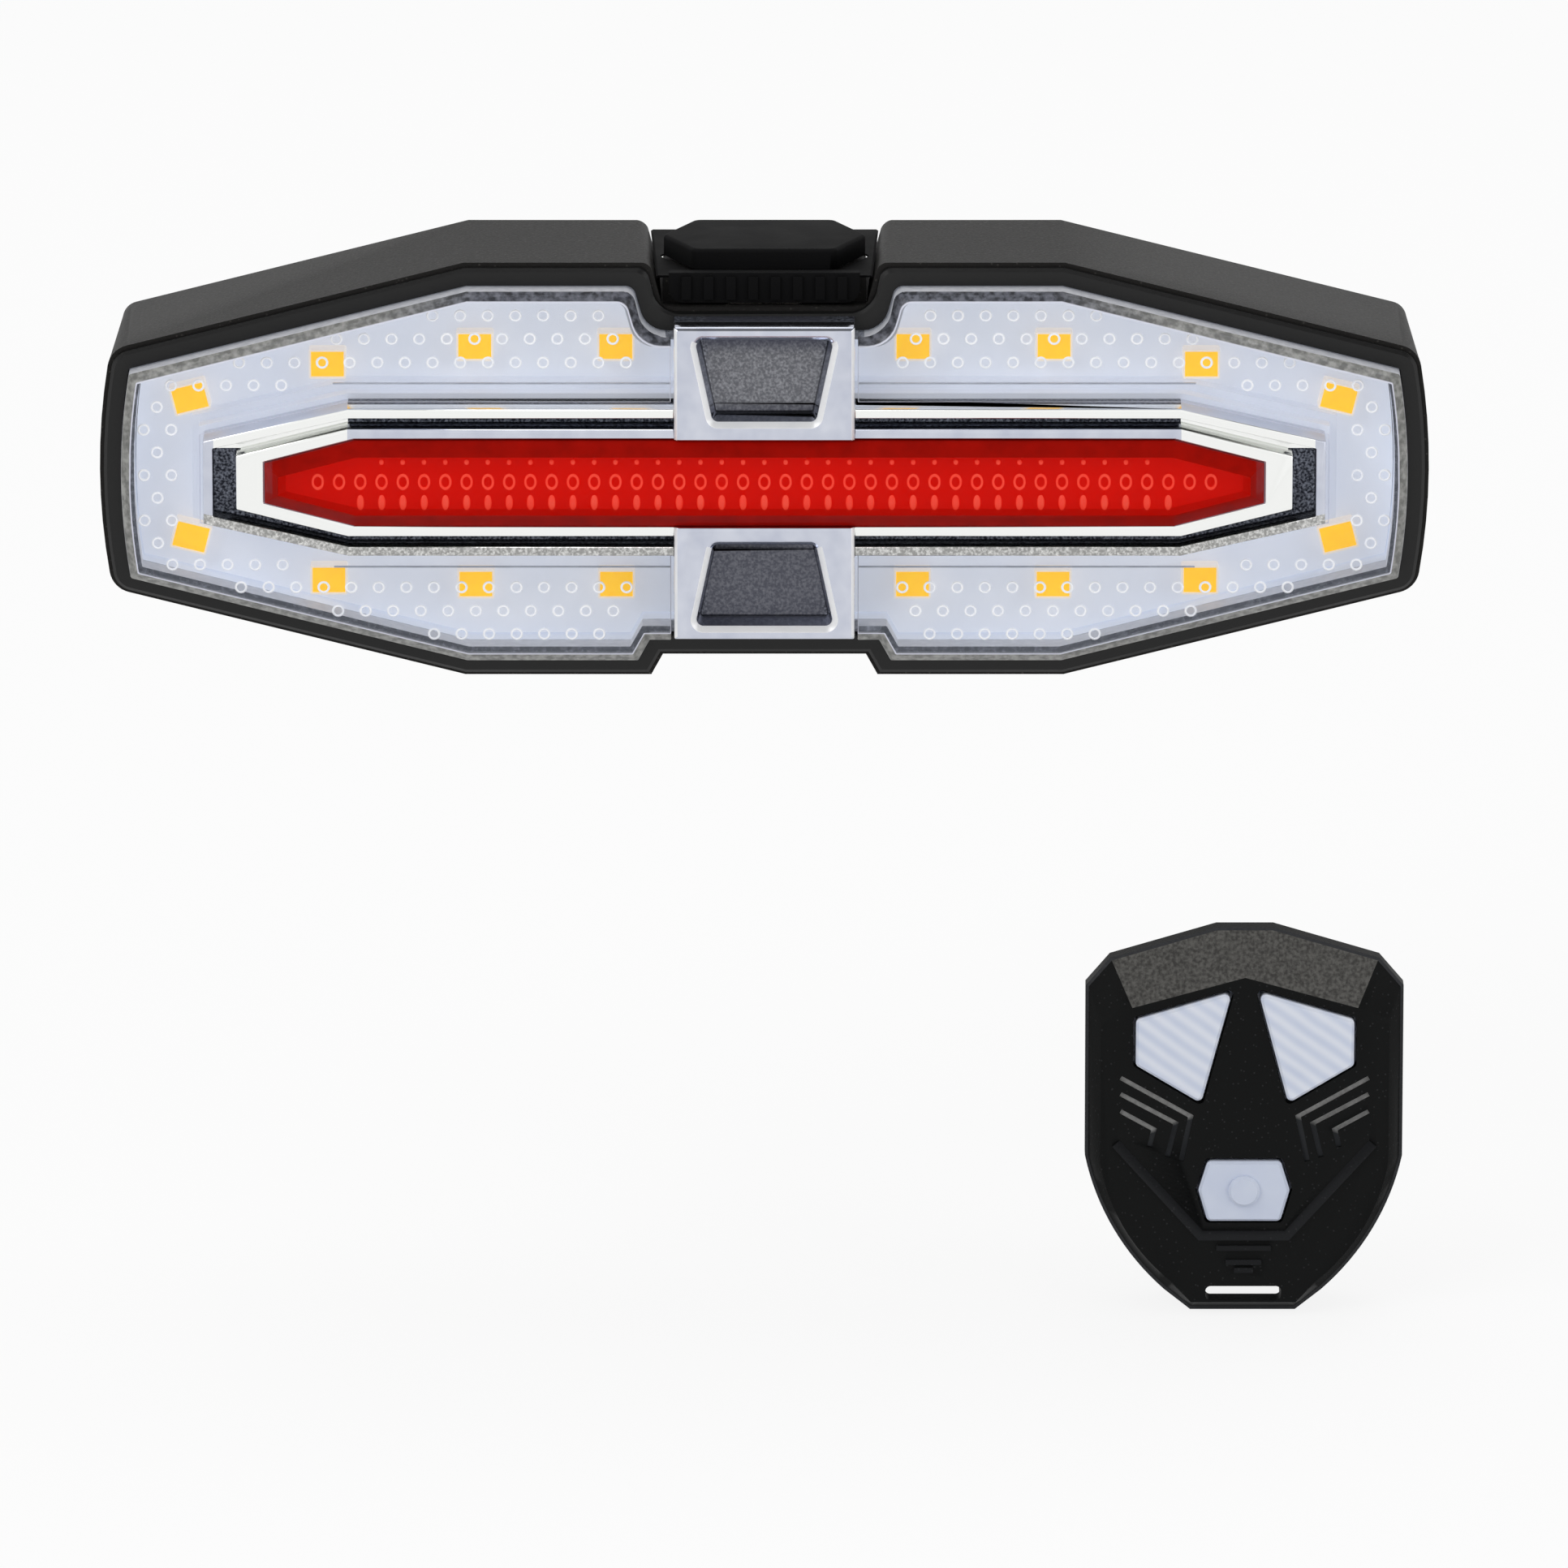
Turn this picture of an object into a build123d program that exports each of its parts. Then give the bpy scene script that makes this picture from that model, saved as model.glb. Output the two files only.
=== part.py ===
from build123d import *
from math import radians, tan
import os

os.makedirs("parts", exist_ok=True)

# The lamp faces -Y, its length runs along X and Z is up. The origin is the centre of the
# seat post clamp. All sizes are in millimetres. A depth is measured from the axis of the
# seat post towards the lenses, so a depth of 20 is the plane y = -20.

# Seat post clamp
post_radius = 13.6
pad_thickness = 2.0
pad_half_angle = 56.0
pad_half_height = 10.0
bracket_web = 4.0
bracket_half_height = 12.0
bracket_half_width = 16.0
bracket_edge_radius = 1.2
peg_x = 18.6
peg_depth = 11.0
peg_radius = 1.6
lug_radius = 2.7
strap_thickness = 2.2
strap_half_height = 7.0
strap_eye_wall = 1.5
lug_gap = 0.3
lug_pocket_gap = 0.8

# Slide between bracket and lamp
slide_gap = 0.3
rail_neck_half = 4.9
rail_neck_length = 2.8
rail_head_half = 8.9
rail_head_thickness = 1.9
slide_stop_z = 8.0
slot_wall = 1.6

# Lamp outline, seen from the front
half_length = 62.7
end_bulge = 1.1
corner_height = 11.6
flat_half_length = 28.3
half_height = 20.0
top_notch_mouth_half = 10.8
top_notch_floor_half = 9.6
top_notch_z = 15.7
bottom_notch_mouth_half = 10.7
bottom_notch_floor_half = 9.6
bottom_notch_z = 18.0
end_corner_radius = 2.4
flat_corner_radius = 3.0
notch_mouth_radius = 1.0
notch_floor_radius = 2.4
notch_radius_share = 1.3
least_radius = 0.2

# Housing and bezel
housing_depth = 21.5
housing_draft = 1.9
housing_wall = 1.4
back_wall = 1.6
back_edge = 0.8
bezel_thickness = 1.0
bezel_step = 0.4
bezel_rim_width = 2.0
fit_gap = 0.1
spigot_inset = 3.2
ledge_drop = 0.8
chassis_thickness = 1.4
wire_window_length = 20.0
wire_window_height = 10.0
rim_edge = 0.3

# Clear lenses
lens_proud = 2.8
lens_face = 1.4
lens_side_wall = 1.2
lens_edge = 0.9
seal_thickness = 0.5
piece_gap = 0.3

# Lamp boards and light sources
board_thickness = 1.6
board_below_rim = 4.0
amber_length = 3.5
amber_height = 2.8
amber_thickness = 1.9
amber_edge = 0.25
amber_first_x = 14.0
amber_end_margin = 7.4
amber_shares = (0.0, 0.331, 0.677, 1.0)
amber_top_z = (11.6, 11.6, 9.9, 6.6)
amber_bottom_z = (11.5, 11.5, 11.1, 6.9)
amber_turn = (0.0, 0.0, 0.0, 14.0)
red_board_height = 5.0
red_board_end_margin = 5.0
red_board_thickness = 1.0
red_chip = 1.6
red_chip_thickness = 0.7
red_chip_count = 14

# Bright trim with the red lens
trim_proud = 4.4
trim_end_margin = 8.8
trim_end_half_height = 4.0
trim_half_height = 7.1
trim_taper_length = 13.6
trim_wall = 0.9
channel_floor = 1.6
channel_end_width = 3.1
inner_end_half_height = 2.6
inner_half_height = 5.2
block_half_width = 8.5
block_half_height = 15.1
block_proud = 0.6
window_wide_half = 6.6
window_narrow_half = 4.9
window_outer_z = 13.9
window_inner_z = 5.9
window_depth = 3.2
window_corner_radius = 0.7
window_draft = 8.0
carrier_margin = 1.2
carrier_step = 0.5
red_end_margin = 2.7
red_tip_half_height = 1.9
red_shoulder_margin = 0.6
red_half_height = 4.1
red_proud = 0.9
red_bevel = 1.3

# Push button, rubber base and charging cover in the top notch
base_top_z = 18.8
base_thickness = 0.8
base_gap = 0.12
platform_front_below_rim = 3.4
notch_wall = 1.4
pad_flat_half = 6.7
pad_wide_half = 9.0
pad_length = 12.6
pad_back_margin = 4.7
pad_height = 1.5
pad_edge = 0.35
button_travel = 0.3
stem_radius = 1.3
flap_thickness = 1.2
flap_half_width = 9.0
flap_height = 2.9
flap_corner_radius = 1.4
rib_count = 8
rib_pitch = 2.1
rib_width = 0.9
rib_proud = 0.35

# Charging socket and switch on a small board below the button
socket_length = 5.4
socket_width = 7.5
socket_height = 2.5
socket_wall = 0.35
socket_corner_radius = 0.6
socket_top_below_base = 0.15
small_board_thickness = 1.0
small_board_half_width = 8.2
small_board_margin = 0.6
switch_side = 4.5
switch_height = 0.8
plunger_radius = 1.1
plunger_height = 0.35

# Battery, control board and screws
battery_end_margin = 2.3
battery_height = 22.0
battery_thickness = 7.5
battery_edge = 1.6
foam_thickness = 1.0
control_end_margin = 5.3
control_height = 22.0
control_thickness = 1.2
control_below_chassis = 2.6
post_radius_small = 1.8
chip_side = 6.0
chip_thickness = 1.2
coil_radius = 2.6
boss_radius = 2.6
boss_x = 22.0
boss_z = 15.0
end_boss_margin = 4.6
boss_meet_depth = 27.0
screw_radius = 1.0
screw_head_radius = 1.9
screw_head_height = 1.3
screw_length = 9.6
screw_hole_gap = 0.1
screw_drive_width = 0.6
screw_drive_length = 2.2
screw_drive_depth = 0.7
counterbore_depth = 1.9

# Remote control
remote_x = 45.6
remote_top_z = -44.1
remote_height = 37.8
remote_half_width = 15.1
remote_top_flat = 2.7
remote_shoulder_x = 12.8
remote_shoulder_drop = 3.0
remote_side_top = 5.7
remote_side_bottom = 22.5
remote_curve_x = 12.5
remote_curve_drop = 29.5
remote_toe_x = 7.5
remote_toe_drop = 35.8
remote_foot_half = 5.0
remote_split_depth = 42.4
remote_back_thickness = 6.4
remote_wall = 1.3
remote_back_taper = 2.2
remote_rim_thickness = 1.8
remote_front_thickness = 4.2
remote_plateau_top = 4.3
remote_plateau_shoulder_x = 11.5
remote_plateau_shoulder = 7.5
remote_plateau_inset = 1.4
remote_plateau_skin = 1.3
key_gap = 0.25
key_proud = 0.45
key_foot = 0.4
key_foot_margin = 0.6
key_travel = 0.5
key_edge = 0.25
key_corner_radius = 0.5
key_inner_top_x = 0.9
key_inner_top = 5.3
key_outer_x = 10.6
key_outer_top = 8.2
key_outer_bottom = 13.0
key_inner_bottom_x = 4.0
key_inner_bottom = 17.0
centre_top = 22.1
centre_middle = 25.2
centre_bottom = 28.5
centre_flat_half = 3.65
centre_wide_half = 4.6
dome_radius = 1.5
dome_height = 0.5
collar_outer_x = 12.2
collar_top = 20.6
collar_foot_x = 4.1
collar_foot = 29.7
collar_width = 0.9
collar_height = 0.4
groove_width = 0.5
groove_depth = 0.3
groove_starts = (14.2, 15.8, 17.5)
groove_bends = (18.0, 18.7, 19.3)
groove_bend_x = (5.1, 6.5, 8.6)
groove_ends = (22.4, 22.0, 21.0)
groove_end_x = (6.0, 7.3, 9.0)
groove_outer_x = 11.8
foot_rib_drops = (31.0, 32.4, 33.2)
foot_rib_halves = (2.6, 1.7, 0.9)
foot_rib_width = 0.45
foot_rib_height = 0.25
slot_half_width = 3.6
slot_top = 34.8
slot_bottom = 36.2
slot_corner_radius = 0.5
lanyard_wall = 0.9
lanyard_bar = 2.2
lanyard_lip = 0.5
cell_radius = 10.0
cell_thickness = 3.2
cell_drop = 17.0
door_radius = 11.3
door_thickness = 1.6
door_lip = 1.0
door_gap = 0.2
door_slot_width = 1.4
door_slot_length = 12.0
door_slot_depth = 0.8
remote_board_thickness = 1.0
key_switch_side = 3.0
key_switch_height = 0.5
seal_ring_width = 0.8
seal_ring_height = 0.8
contact_width = 3.0
contact_thickness = 0.3
overrun = 1.0

# Lengths that follow from the length of the lamp
corner_half_length = half_length - end_bulge
end_boss_x = corner_half_length - end_boss_margin
amber_reach = corner_half_length - amber_end_margin - amber_first_x
amber_x = [amber_first_x + share * amber_reach for share in amber_shares]
trim_half_length = corner_half_length - trim_end_margin
trim_shoulder_x = trim_half_length - trim_taper_length
inner_half_length = trim_half_length - channel_end_width
red_tip_x = inner_half_length - red_end_margin
red_shoulder_x = trim_shoulder_x - red_shoulder_margin
red_board_half_length = red_tip_x - red_board_end_margin

# Planes that follow from the sizes above
saddle_radius = post_radius + pad_thickness
bracket_front = saddle_radius + bracket_web
housing_back = bracket_front + slide_gap
housing_front = housing_back + housing_depth
rim_depth = housing_front + bezel_thickness
cavity_back = housing_back + back_wall
slot_neck_depth = housing_back + rail_neck_length - 2 * slide_gap
slot_head_depth = bracket_front + rail_neck_length + rail_head_thickness + slide_gap
ledge_depth = housing_front - ledge_drop
board_front = rim_depth - board_below_rim
chassis_front = board_front - board_thickness
chassis_back = chassis_front - chassis_thickness
lens_front = rim_depth + lens_proud
trim_front = rim_depth + trim_proud
trim_back = rim_depth
block_front = trim_front + block_proud
platform_top_z = base_top_z - base_thickness
platform_front = rim_depth - platform_front_below_rim
platform_ceiling_z = platform_top_z - notch_wall
socket_top_z = base_top_z - base_thickness - socket_top_below_base
socket_bottom_z = socket_top_z - socket_height
small_board_z = socket_bottom_z - small_board_thickness
pad_back = housing_back + pad_back_margin
pad_centre = pad_back + pad_length / 2
switch_top_z = socket_bottom_z + switch_height + plunger_height
stem_bottom_z = switch_top_z + piece_gap + button_travel
pad_bottom_z = platform_top_z + piece_gap + button_travel
pad_top_z = base_top_z + pad_height


def layer(depth):
    """Plane that faces the same way as the lenses, at this depth."""
    return Plane.XZ.offset(depth)


def remote_layer(depth):
    """The same for the remote, with its own origin at the top of its outline."""
    return Plane(origin=(remote_x, -depth, remote_top_z), x_dir=(1, 0, 0), z_dir=(0, -1, 0))


def lamp_outline(inset=0.0):
    """Long shield shape of the lamp with a notch above and below, drawn in by inset."""
    with BuildSketch() as outline:
        with BuildLine():
            Polyline(
                (0, top_notch_z),
                (top_notch_floor_half, top_notch_z),
                (top_notch_mouth_half, half_height),
                (flat_half_length, half_height),
                (corner_half_length, corner_height),
            )
            ThreePointArc(
                (corner_half_length, corner_height),
                (half_length, 0),
                (corner_half_length, -corner_height),
            )
            Polyline(
                (corner_half_length, -corner_height),
                (flat_half_length, -half_height),
                (bottom_notch_mouth_half, -half_height),
                (bottom_notch_floor_half, -bottom_notch_z),
                (0, -bottom_notch_z),
            )
            mirror(about=Plane.YZ)
        make_face()
        if inset > 0:
            offset(amount=-inset, kind=Kind.INTERSECTION)
        off_centre = top_notch_floor_half / 2
        end_zone = (flat_half_length + corner_half_length) / 2
        flat_zone = (top_notch_mouth_half + flat_half_length) / 2
        corners = outline.vertices().filter_by(lambda v: abs(v.X) > off_centre)
        ends = corners.filter_by(lambda v: abs(v.X) > end_zone)
        flats = corners.filter_by(lambda v: flat_zone < abs(v.X) < end_zone)
        notch = corners.filter_by(lambda v: abs(v.X) < flat_zone)
        mouths = notch.filter_by(lambda v: abs(abs(v.Y) - (half_height - inset)) < rim_edge)
        floor = notch.filter_by(lambda v: abs(v.Y - (top_notch_z - inset)) < rim_edge)
        fillet(ends, max(end_corner_radius - inset, least_radius))
        fillet(flats, max(flat_corner_radius - inset, least_radius))
        if inset < notch_mouth_radius:
            fillet(mouths, notch_mouth_radius - inset)
        widest_floor = notch_radius_share * (half_height - top_notch_z)
        fillet(floor, min(notch_floor_radius + inset, widest_floor))
    return outline.sketch


def long_hexagon(tip_x, tip_half, shoulder_x, shoulder_half):
    """Stretched hexagon of the trim, with blunt ends."""
    with BuildSketch() as hexagon:
        with BuildLine():
            Polyline(
                (0, shoulder_half),
                (shoulder_x, shoulder_half),
                (tip_x, tip_half),
                (tip_x, -tip_half),
                (shoulder_x, -shoulder_half),
                (0, -shoulder_half),
            )
            mirror(about=Plane.YZ)
        make_face()
    return hexagon.sketch


def trim_outline(margin=0.0):
    """Outline of the bright trim ring, made larger by margin."""
    with BuildSketch() as ring:
        add(long_hexagon(trim_half_length, trim_end_half_height, trim_shoulder_x, trim_half_height))
        if margin != 0:
            offset(amount=margin, kind=Kind.INTERSECTION)
    return ring.sketch


def red_outline(margin=0.0):
    """Outline of the red lens, made larger by margin."""
    with BuildSketch() as bar:
        add(long_hexagon(red_tip_x, red_tip_half_height, red_shoulder_x, red_half_height))
        if margin != 0:
            offset(amount=margin, kind=Kind.INTERSECTION)
    return bar.sketch


def pad_outline(margin=0.0):
    """Hexagon of the push button, seen from above, with its long side across the lamp."""
    with BuildSketch() as hexagon:
        with BuildLine():
            Polyline(
                (pad_flat_half, pad_length / 2),
                (pad_wide_half, 0),
                (pad_flat_half, -pad_length / 2),
                (-pad_flat_half, -pad_length / 2),
                (-pad_wide_half, 0),
                (-pad_flat_half, pad_length / 2),
                close=True,
            )
        make_face()
        if margin != 0:
            offset(amount=margin, kind=Kind.INTERSECTION)
        fillet(hexagon.vertices(), notch_mouth_radius)
    return hexagon.sketch


# Housing: an open box with a drafted wall, a T slot in its back for the bracket rail, a
# platform in the top notch for the button, and columns for the screws.
boss_places = [
    (boss_x, boss_z),
    (-boss_x, boss_z),
    (boss_x, -boss_z),
    (-boss_x, -boss_z),
    (end_boss_x, 0),
    (-end_boss_x, 0),
]
slot_box_half = rail_head_half + slide_gap + slot_wall
slot_box_front = slot_head_depth + slot_wall
bay_length = end_boss_x - boss_radius - slot_box_half - piece_gap
battery_length = bay_length - battery_end_margin
control_length = bay_length - control_end_margin
slot_top_z = slide_stop_z + slide_gap
pillar_places = [
    (slot_box_half + piece_gap + post_radius_small, 0),
    (slot_box_half + control_length - post_radius_small, 0),
]
control_front = chassis_back - control_below_chassis
control_back = control_front - control_thickness
platform_mid_z = (platform_top_z + top_notch_z - notch_wall) / 2
platform_height = platform_top_z - top_notch_z + notch_wall

with BuildPart() as rear_housing:
    with BuildSketch(layer(housing_front)):
        add(lamp_outline())
    extrude(amount=-housing_depth, taper=housing_draft)
    chamfer(rear_housing.faces().sort_by(Axis.Y)[-1].outer_wire().edges(), back_edge)
    with BuildSketch(layer(housing_back)):
        with Locations((0, platform_mid_z)):
            Rectangle(2 * top_notch_floor_half, platform_height)
    extrude(amount=platform_front - housing_back)
    with BuildSketch(layer(housing_front)):
        add(lamp_outline(housing_wall))
    extrude(amount=cavity_back - housing_front, taper=housing_draft, mode=Mode.SUBTRACT)
    with BuildSketch(layer(housing_back)):
        with Locations((0, (slot_top_z + slot_wall - bottom_notch_z) / 2)):
            Rectangle(2 * slot_box_half, slot_top_z + slot_wall + bottom_notch_z)
    extrude(amount=slot_box_front - housing_back)
    with BuildSketch(layer(cavity_back)):
        with Locations(*boss_places):
            Circle(boss_radius)
    extrude(amount=boss_meet_depth - fit_gap - cavity_back)
    with BuildSketch(layer(cavity_back)):
        with Locations(*pillar_places):
            Circle(post_radius_small)
    extrude(amount=control_back - cavity_back)
    with BuildSketch(layer(housing_back - overrun)):
        with Locations((0, (slot_top_z - half_height - overrun) / 2)):
            Rectangle(2 * (rail_neck_half + slide_gap), slot_top_z + half_height + overrun)
    extrude(amount=slot_neck_depth - housing_back + overrun, mode=Mode.SUBTRACT)
    with BuildSketch(layer(slot_neck_depth)):
        with Locations((0, (slot_top_z - half_height - overrun) / 2)):
            Rectangle(2 * (rail_head_half + slide_gap), slot_top_z + half_height + overrun)
    extrude(amount=slot_head_depth - slot_neck_depth, mode=Mode.SUBTRACT)
    with BuildSketch(layer(cavity_back)):
        with Locations((0, (platform_ceiling_z + top_notch_z - notch_wall - overrun) / 2)):
            Rectangle(
                2 * (small_board_half_width + fit_gap),
                platform_ceiling_z - top_notch_z + notch_wall + overrun,
            )
    extrude(amount=platform_front - notch_wall - cavity_back, mode=Mode.SUBTRACT)
    with BuildSketch(layer(platform_front - socket_length - fit_gap)):
        with Locations((0, (platform_top_z + socket_bottom_z) / 2)):
            Rectangle(socket_width + 2 * fit_gap, platform_top_z - socket_bottom_z + fit_gap)
    extrude(amount=socket_length + fit_gap + overrun, mode=Mode.SUBTRACT)
    with BuildSketch(Plane.XY.offset(platform_ceiling_z - overrun)):
        with Locations((0, -pad_centre)):
            Circle(stem_radius + piece_gap)
    extrude(amount=notch_wall + 2 * overrun, mode=Mode.SUBTRACT)
    with BuildSketch(layer(housing_back - overrun)):
        with Locations(*boss_places):
            Circle(screw_radius + screw_hole_gap)
    extrude(amount=boss_meet_depth - housing_back + overrun, mode=Mode.SUBTRACT)
    with BuildSketch(layer(housing_back - overrun)):
        with Locations(*boss_places):
            Circle(screw_head_radius + screw_hole_gap)
    extrude(amount=counterbore_depth + overrun, mode=Mode.SUBTRACT)
rear_housing.part.label = "rear_housing"
export_step(rear_housing.part, "parts/rear_housing.step")

# Front bezel: the rim round the lenses, a spigot that slides into the housing, and the
# chassis plate inside it that carries the lamp board, with the bosses for the screws.
with BuildPart() as front_bezel:
    with BuildSketch(layer(housing_front)):
        add(lamp_outline(housing_wall + fit_gap))
    extrude(amount=chassis_back - housing_front, taper=housing_draft)
    with BuildSketch(layer(housing_front)):
        add(lamp_outline(bezel_step))
    extrude(amount=bezel_thickness)
    with BuildSketch(layer(ledge_depth)):
        add(lamp_outline(bezel_rim_width))
    extrude(amount=rim_depth - ledge_depth, mode=Mode.SUBTRACT)
    with BuildSketch(layer(chassis_front)):
        add(lamp_outline(spigot_inset))
    extrude(amount=rim_depth - chassis_front, mode=Mode.SUBTRACT)
    chamfer(front_bezel.faces().sort_by(Axis.Y)[0].outer_wire().edges(), rim_edge)
    with BuildSketch(layer(chassis_back)):
        Rectangle(wire_window_length, wire_window_height)
    extrude(amount=chassis_thickness, mode=Mode.SUBTRACT)
    with BuildSketch(layer(chassis_back)):
        with Locations(*boss_places):
            Circle(boss_radius)
    extrude(amount=boss_meet_depth - chassis_back)
    with BuildSketch(layer(boss_meet_depth)):
        with Locations(*boss_places):
            Circle(screw_radius + screw_hole_gap / 2)
    extrude(amount=chassis_back - boss_meet_depth, mode=Mode.SUBTRACT)
front_bezel.part.label = "front_bezel"
export_step(front_bezel.part, "parts/front_bezel.step")

# Rubber gasket on the ledge of the bezel, under the foot of both clear lenses.
with BuildPart() as lens_gasket:
    with BuildSketch(layer(ledge_depth)):
        add(lamp_outline(bezel_rim_width + fit_gap))
        add(lamp_outline(spigot_inset), mode=Mode.SUBTRACT)
    extrude(amount=seal_thickness)
lens_gasket.part.label = "lens_gasket"
export_step(lens_gasket.part, "parts/lens_gasket.step")

# Clear lenses: one moulded cover, cut in two halves by the bright trim blocks, with a
# bevelled edge, and open where the trim ring stands through it.
lens_foot = ledge_depth + seal_thickness
with BuildPart() as clear_cover:
    with BuildSketch(layer(lens_foot)):
        add(lamp_outline(bezel_rim_width + fit_gap))
    extrude(amount=lens_front - lens_edge - lens_foot)
    with BuildSketch(layer(lens_front - lens_edge)):
        add(lamp_outline(bezel_rim_width + fit_gap))
    with BuildSketch(layer(lens_front)):
        add(lamp_outline(bezel_rim_width + fit_gap + lens_edge))
    loft(ruled=True)
    with BuildSketch(layer(lens_foot)):
        add(lamp_outline(bezel_rim_width + fit_gap + lens_side_wall))
    extrude(amount=lens_front - lens_face - lens_foot, mode=Mode.SUBTRACT)
    with BuildSketch(layer(lens_foot)):
        add(trim_outline(piece_gap))
        Rectangle(2 * (block_half_width + piece_gap), 2 * half_height)
    extrude(amount=lens_front - lens_foot + overrun, mode=Mode.SUBTRACT)

for side, lens_node in ((-1, "left_lens"), (1, "right_lens")):
    with BuildPart() as half_cover:
        add(clear_cover.part)
        with Locations((-side * half_length, -lens_front, 0)):
            Box(2 * half_length, 2 * lens_front, 2 * half_height, mode=Mode.SUBTRACT)
    half_cover.part.label = lens_node
    export_step(half_cover.part, f"parts/{lens_node}.step")

# White lamp board on the chassis plate, with its amber light sources soldered on it.
with BuildPart() as lamp_board:
    with BuildSketch(layer(chassis_front)):
        add(lamp_outline(spigot_inset + fit_gap))
    extrude(amount=board_thickness)
lamp_board.part.label = "lamp_board"
export_step(lamp_board.part, "parts/lamp_board.step")

amber_spots = []
for spot_x, top_z, bottom_z, turn in zip(amber_x, amber_top_z, amber_bottom_z, amber_turn):
    amber_spots.append(Location((spot_x, top_z), -turn))
    amber_spots.append(Location((-spot_x, top_z), turn))
    amber_spots.append(Location((spot_x, -bottom_z), turn))
    amber_spots.append(Location((-spot_x, -bottom_z), -turn))
with BuildPart() as amber_lights:
    with BuildSketch(layer(board_front)):
        with Locations(*amber_spots):
            Rectangle(amber_length, amber_height)
    extrude(amount=amber_thickness)
    chamfer(amber_lights.faces().filter_by(Axis.Y).group_by(Axis.Y)[0].edges(), amber_edge)
amber_lights.part.label = "amber_lights"
export_step(amber_lights.part, "parts/amber_lights.step")

# White carrier: a stepped tray on the lamp board that holds the bright trim and shades
# the red light sources from the amber ones.
with BuildPart() as trim_carrier:
    with BuildSketch(layer(board_front)):
        add(trim_outline(carrier_margin))
    extrude(amount=(trim_back - board_front) / 2)
    with BuildSketch(layer((board_front + trim_back) / 2)):
        add(trim_outline(carrier_step))
        Rectangle(
            2 * (block_half_width - trim_wall),
            2 * (top_notch_z - spigot_inset - fit_gap),
        )
    extrude(amount=(trim_back - board_front) / 2)
    with BuildSketch(layer(board_front)):
        add(red_outline(-fit_gap))
    extrude(amount=trim_back - board_front, mode=Mode.SUBTRACT)
trim_carrier.part.label = "trim_carrier"
export_step(trim_carrier.part, "parts/trim_carrier.step")

# Bright plated trim: an outer and an inner ring with a channel between them, and a block
# above and below the red lens, each with a sunk window.
with BuildPart() as bright_trim:
    with BuildSketch(layer(trim_back)):
        add(trim_outline())
    extrude(amount=trim_front - trim_back)
    with BuildSketch(layer(trim_back + channel_floor)):
        add(trim_outline(-trim_wall))
        add(
            long_hexagon(inner_half_length, inner_end_half_height, trim_shoulder_x, inner_half_height),
            mode=Mode.SUBTRACT,
        )
    extrude(amount=trim_front - trim_back, mode=Mode.SUBTRACT)
    with BuildSketch(layer(trim_back + fit_gap)):
        Rectangle(2 * block_half_width, 2 * block_half_height)
    extrude(amount=block_front - trim_back - fit_gap)
    chamfer(bright_trim.faces().sort_by(Axis.Y)[0].outer_wire().edges(), rim_edge)
    for side in (1, -1):
        with BuildSketch(layer(block_front)) as window:
            Polygon(
                (-window_wide_half, side * window_outer_z),
                (window_wide_half, side * window_outer_z),
                (window_narrow_half, side * window_inner_z),
                (-window_narrow_half, side * window_inner_z),
                align=None,
            )
            fillet(window.vertices(), window_corner_radius)
        extrude(amount=-window_depth, taper=window_draft, mode=Mode.SUBTRACT)
    with BuildSketch(layer(trim_back)):
        add(red_outline(fit_gap))
    extrude(amount=block_front - trim_back + overrun, mode=Mode.SUBTRACT)
bright_trim.part.label = "bright_trim"
export_step(bright_trim.part, "parts/bright_trim.step")

# Red lens: a solid bar through the trim, bevelled towards all its edges.
with BuildPart() as red_lens:
    with BuildSketch(layer(trim_back)):
        add(red_outline())
    extrude(amount=block_front + red_proud - trim_back)
    chamfer(red_lens.faces().sort_by(Axis.Y)[0].outer_wire().edges(), red_bevel)
red_lens.part.label = "red_lens"
export_step(red_lens.part, "parts/red_lens.step")

# Strip of red light sources in the slot of the carrier, on its own narrow board.
with BuildPart() as red_strip:
    with BuildSketch(layer(board_front)):
        Rectangle(2 * red_board_half_length - 2 * overrun, red_board_height)
    extrude(amount=red_board_thickness)
red_strip.part.label = "red_strip"
export_step(red_strip.part, "parts/red_strip.step")

red_pitch = 2 * red_board_half_length / (red_chip_count + 1)
with BuildPart() as red_lights:
    with BuildSketch(layer(board_front + red_board_thickness)):
        with GridLocations(red_pitch, 0, red_chip_count, 1):
            Rectangle(red_chip, red_chip)
    extrude(amount=red_chip_thickness)
red_lights.part.label = "red_lights"
export_step(red_lights.part, "parts/red_lights.step")

# Rubber base: fills the top notch behind the rim from wall to wall, and so grows wider
# towards the back as the housing narrows, with a pocket for the push button.
notch_spread = (top_notch_mouth_half - top_notch_floor_half) / (half_height - top_notch_z)
notch_half = top_notch_floor_half + notch_spread * (platform_top_z - top_notch_z)
base_draft = tan(radians(housing_draft))
base_front_half = notch_half + base_draft * (housing_front - platform_front) - base_gap
base_back_half = notch_half + base_draft * housing_depth - base_gap
with BuildPart() as button_base:
    with BuildSketch(Plane.XY.offset(platform_top_z)):
        Polygon(
            (-base_front_half, -platform_front),
            (base_front_half, -platform_front),
            (base_back_half, -housing_back),
            (-base_back_half, -housing_back),
            align=None,
        )
    extrude(amount=base_thickness)
    top_edges = button_base.faces().sort_by(Axis.Z)[-1].edges()
    chamfer(top_edges.sort_by(lambda e: -abs(e.center().X))[:2], length=base_thickness / 4)
    with BuildSketch(Plane.XY.offset(platform_top_z)):
        with Locations((0, -pad_centre)):
            add(pad_outline(piece_gap))
    extrude(amount=base_thickness + overrun, mode=Mode.SUBTRACT)
button_base.part.label = "button_base"
export_step(button_base.part, "parts/button_base.step")

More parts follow.
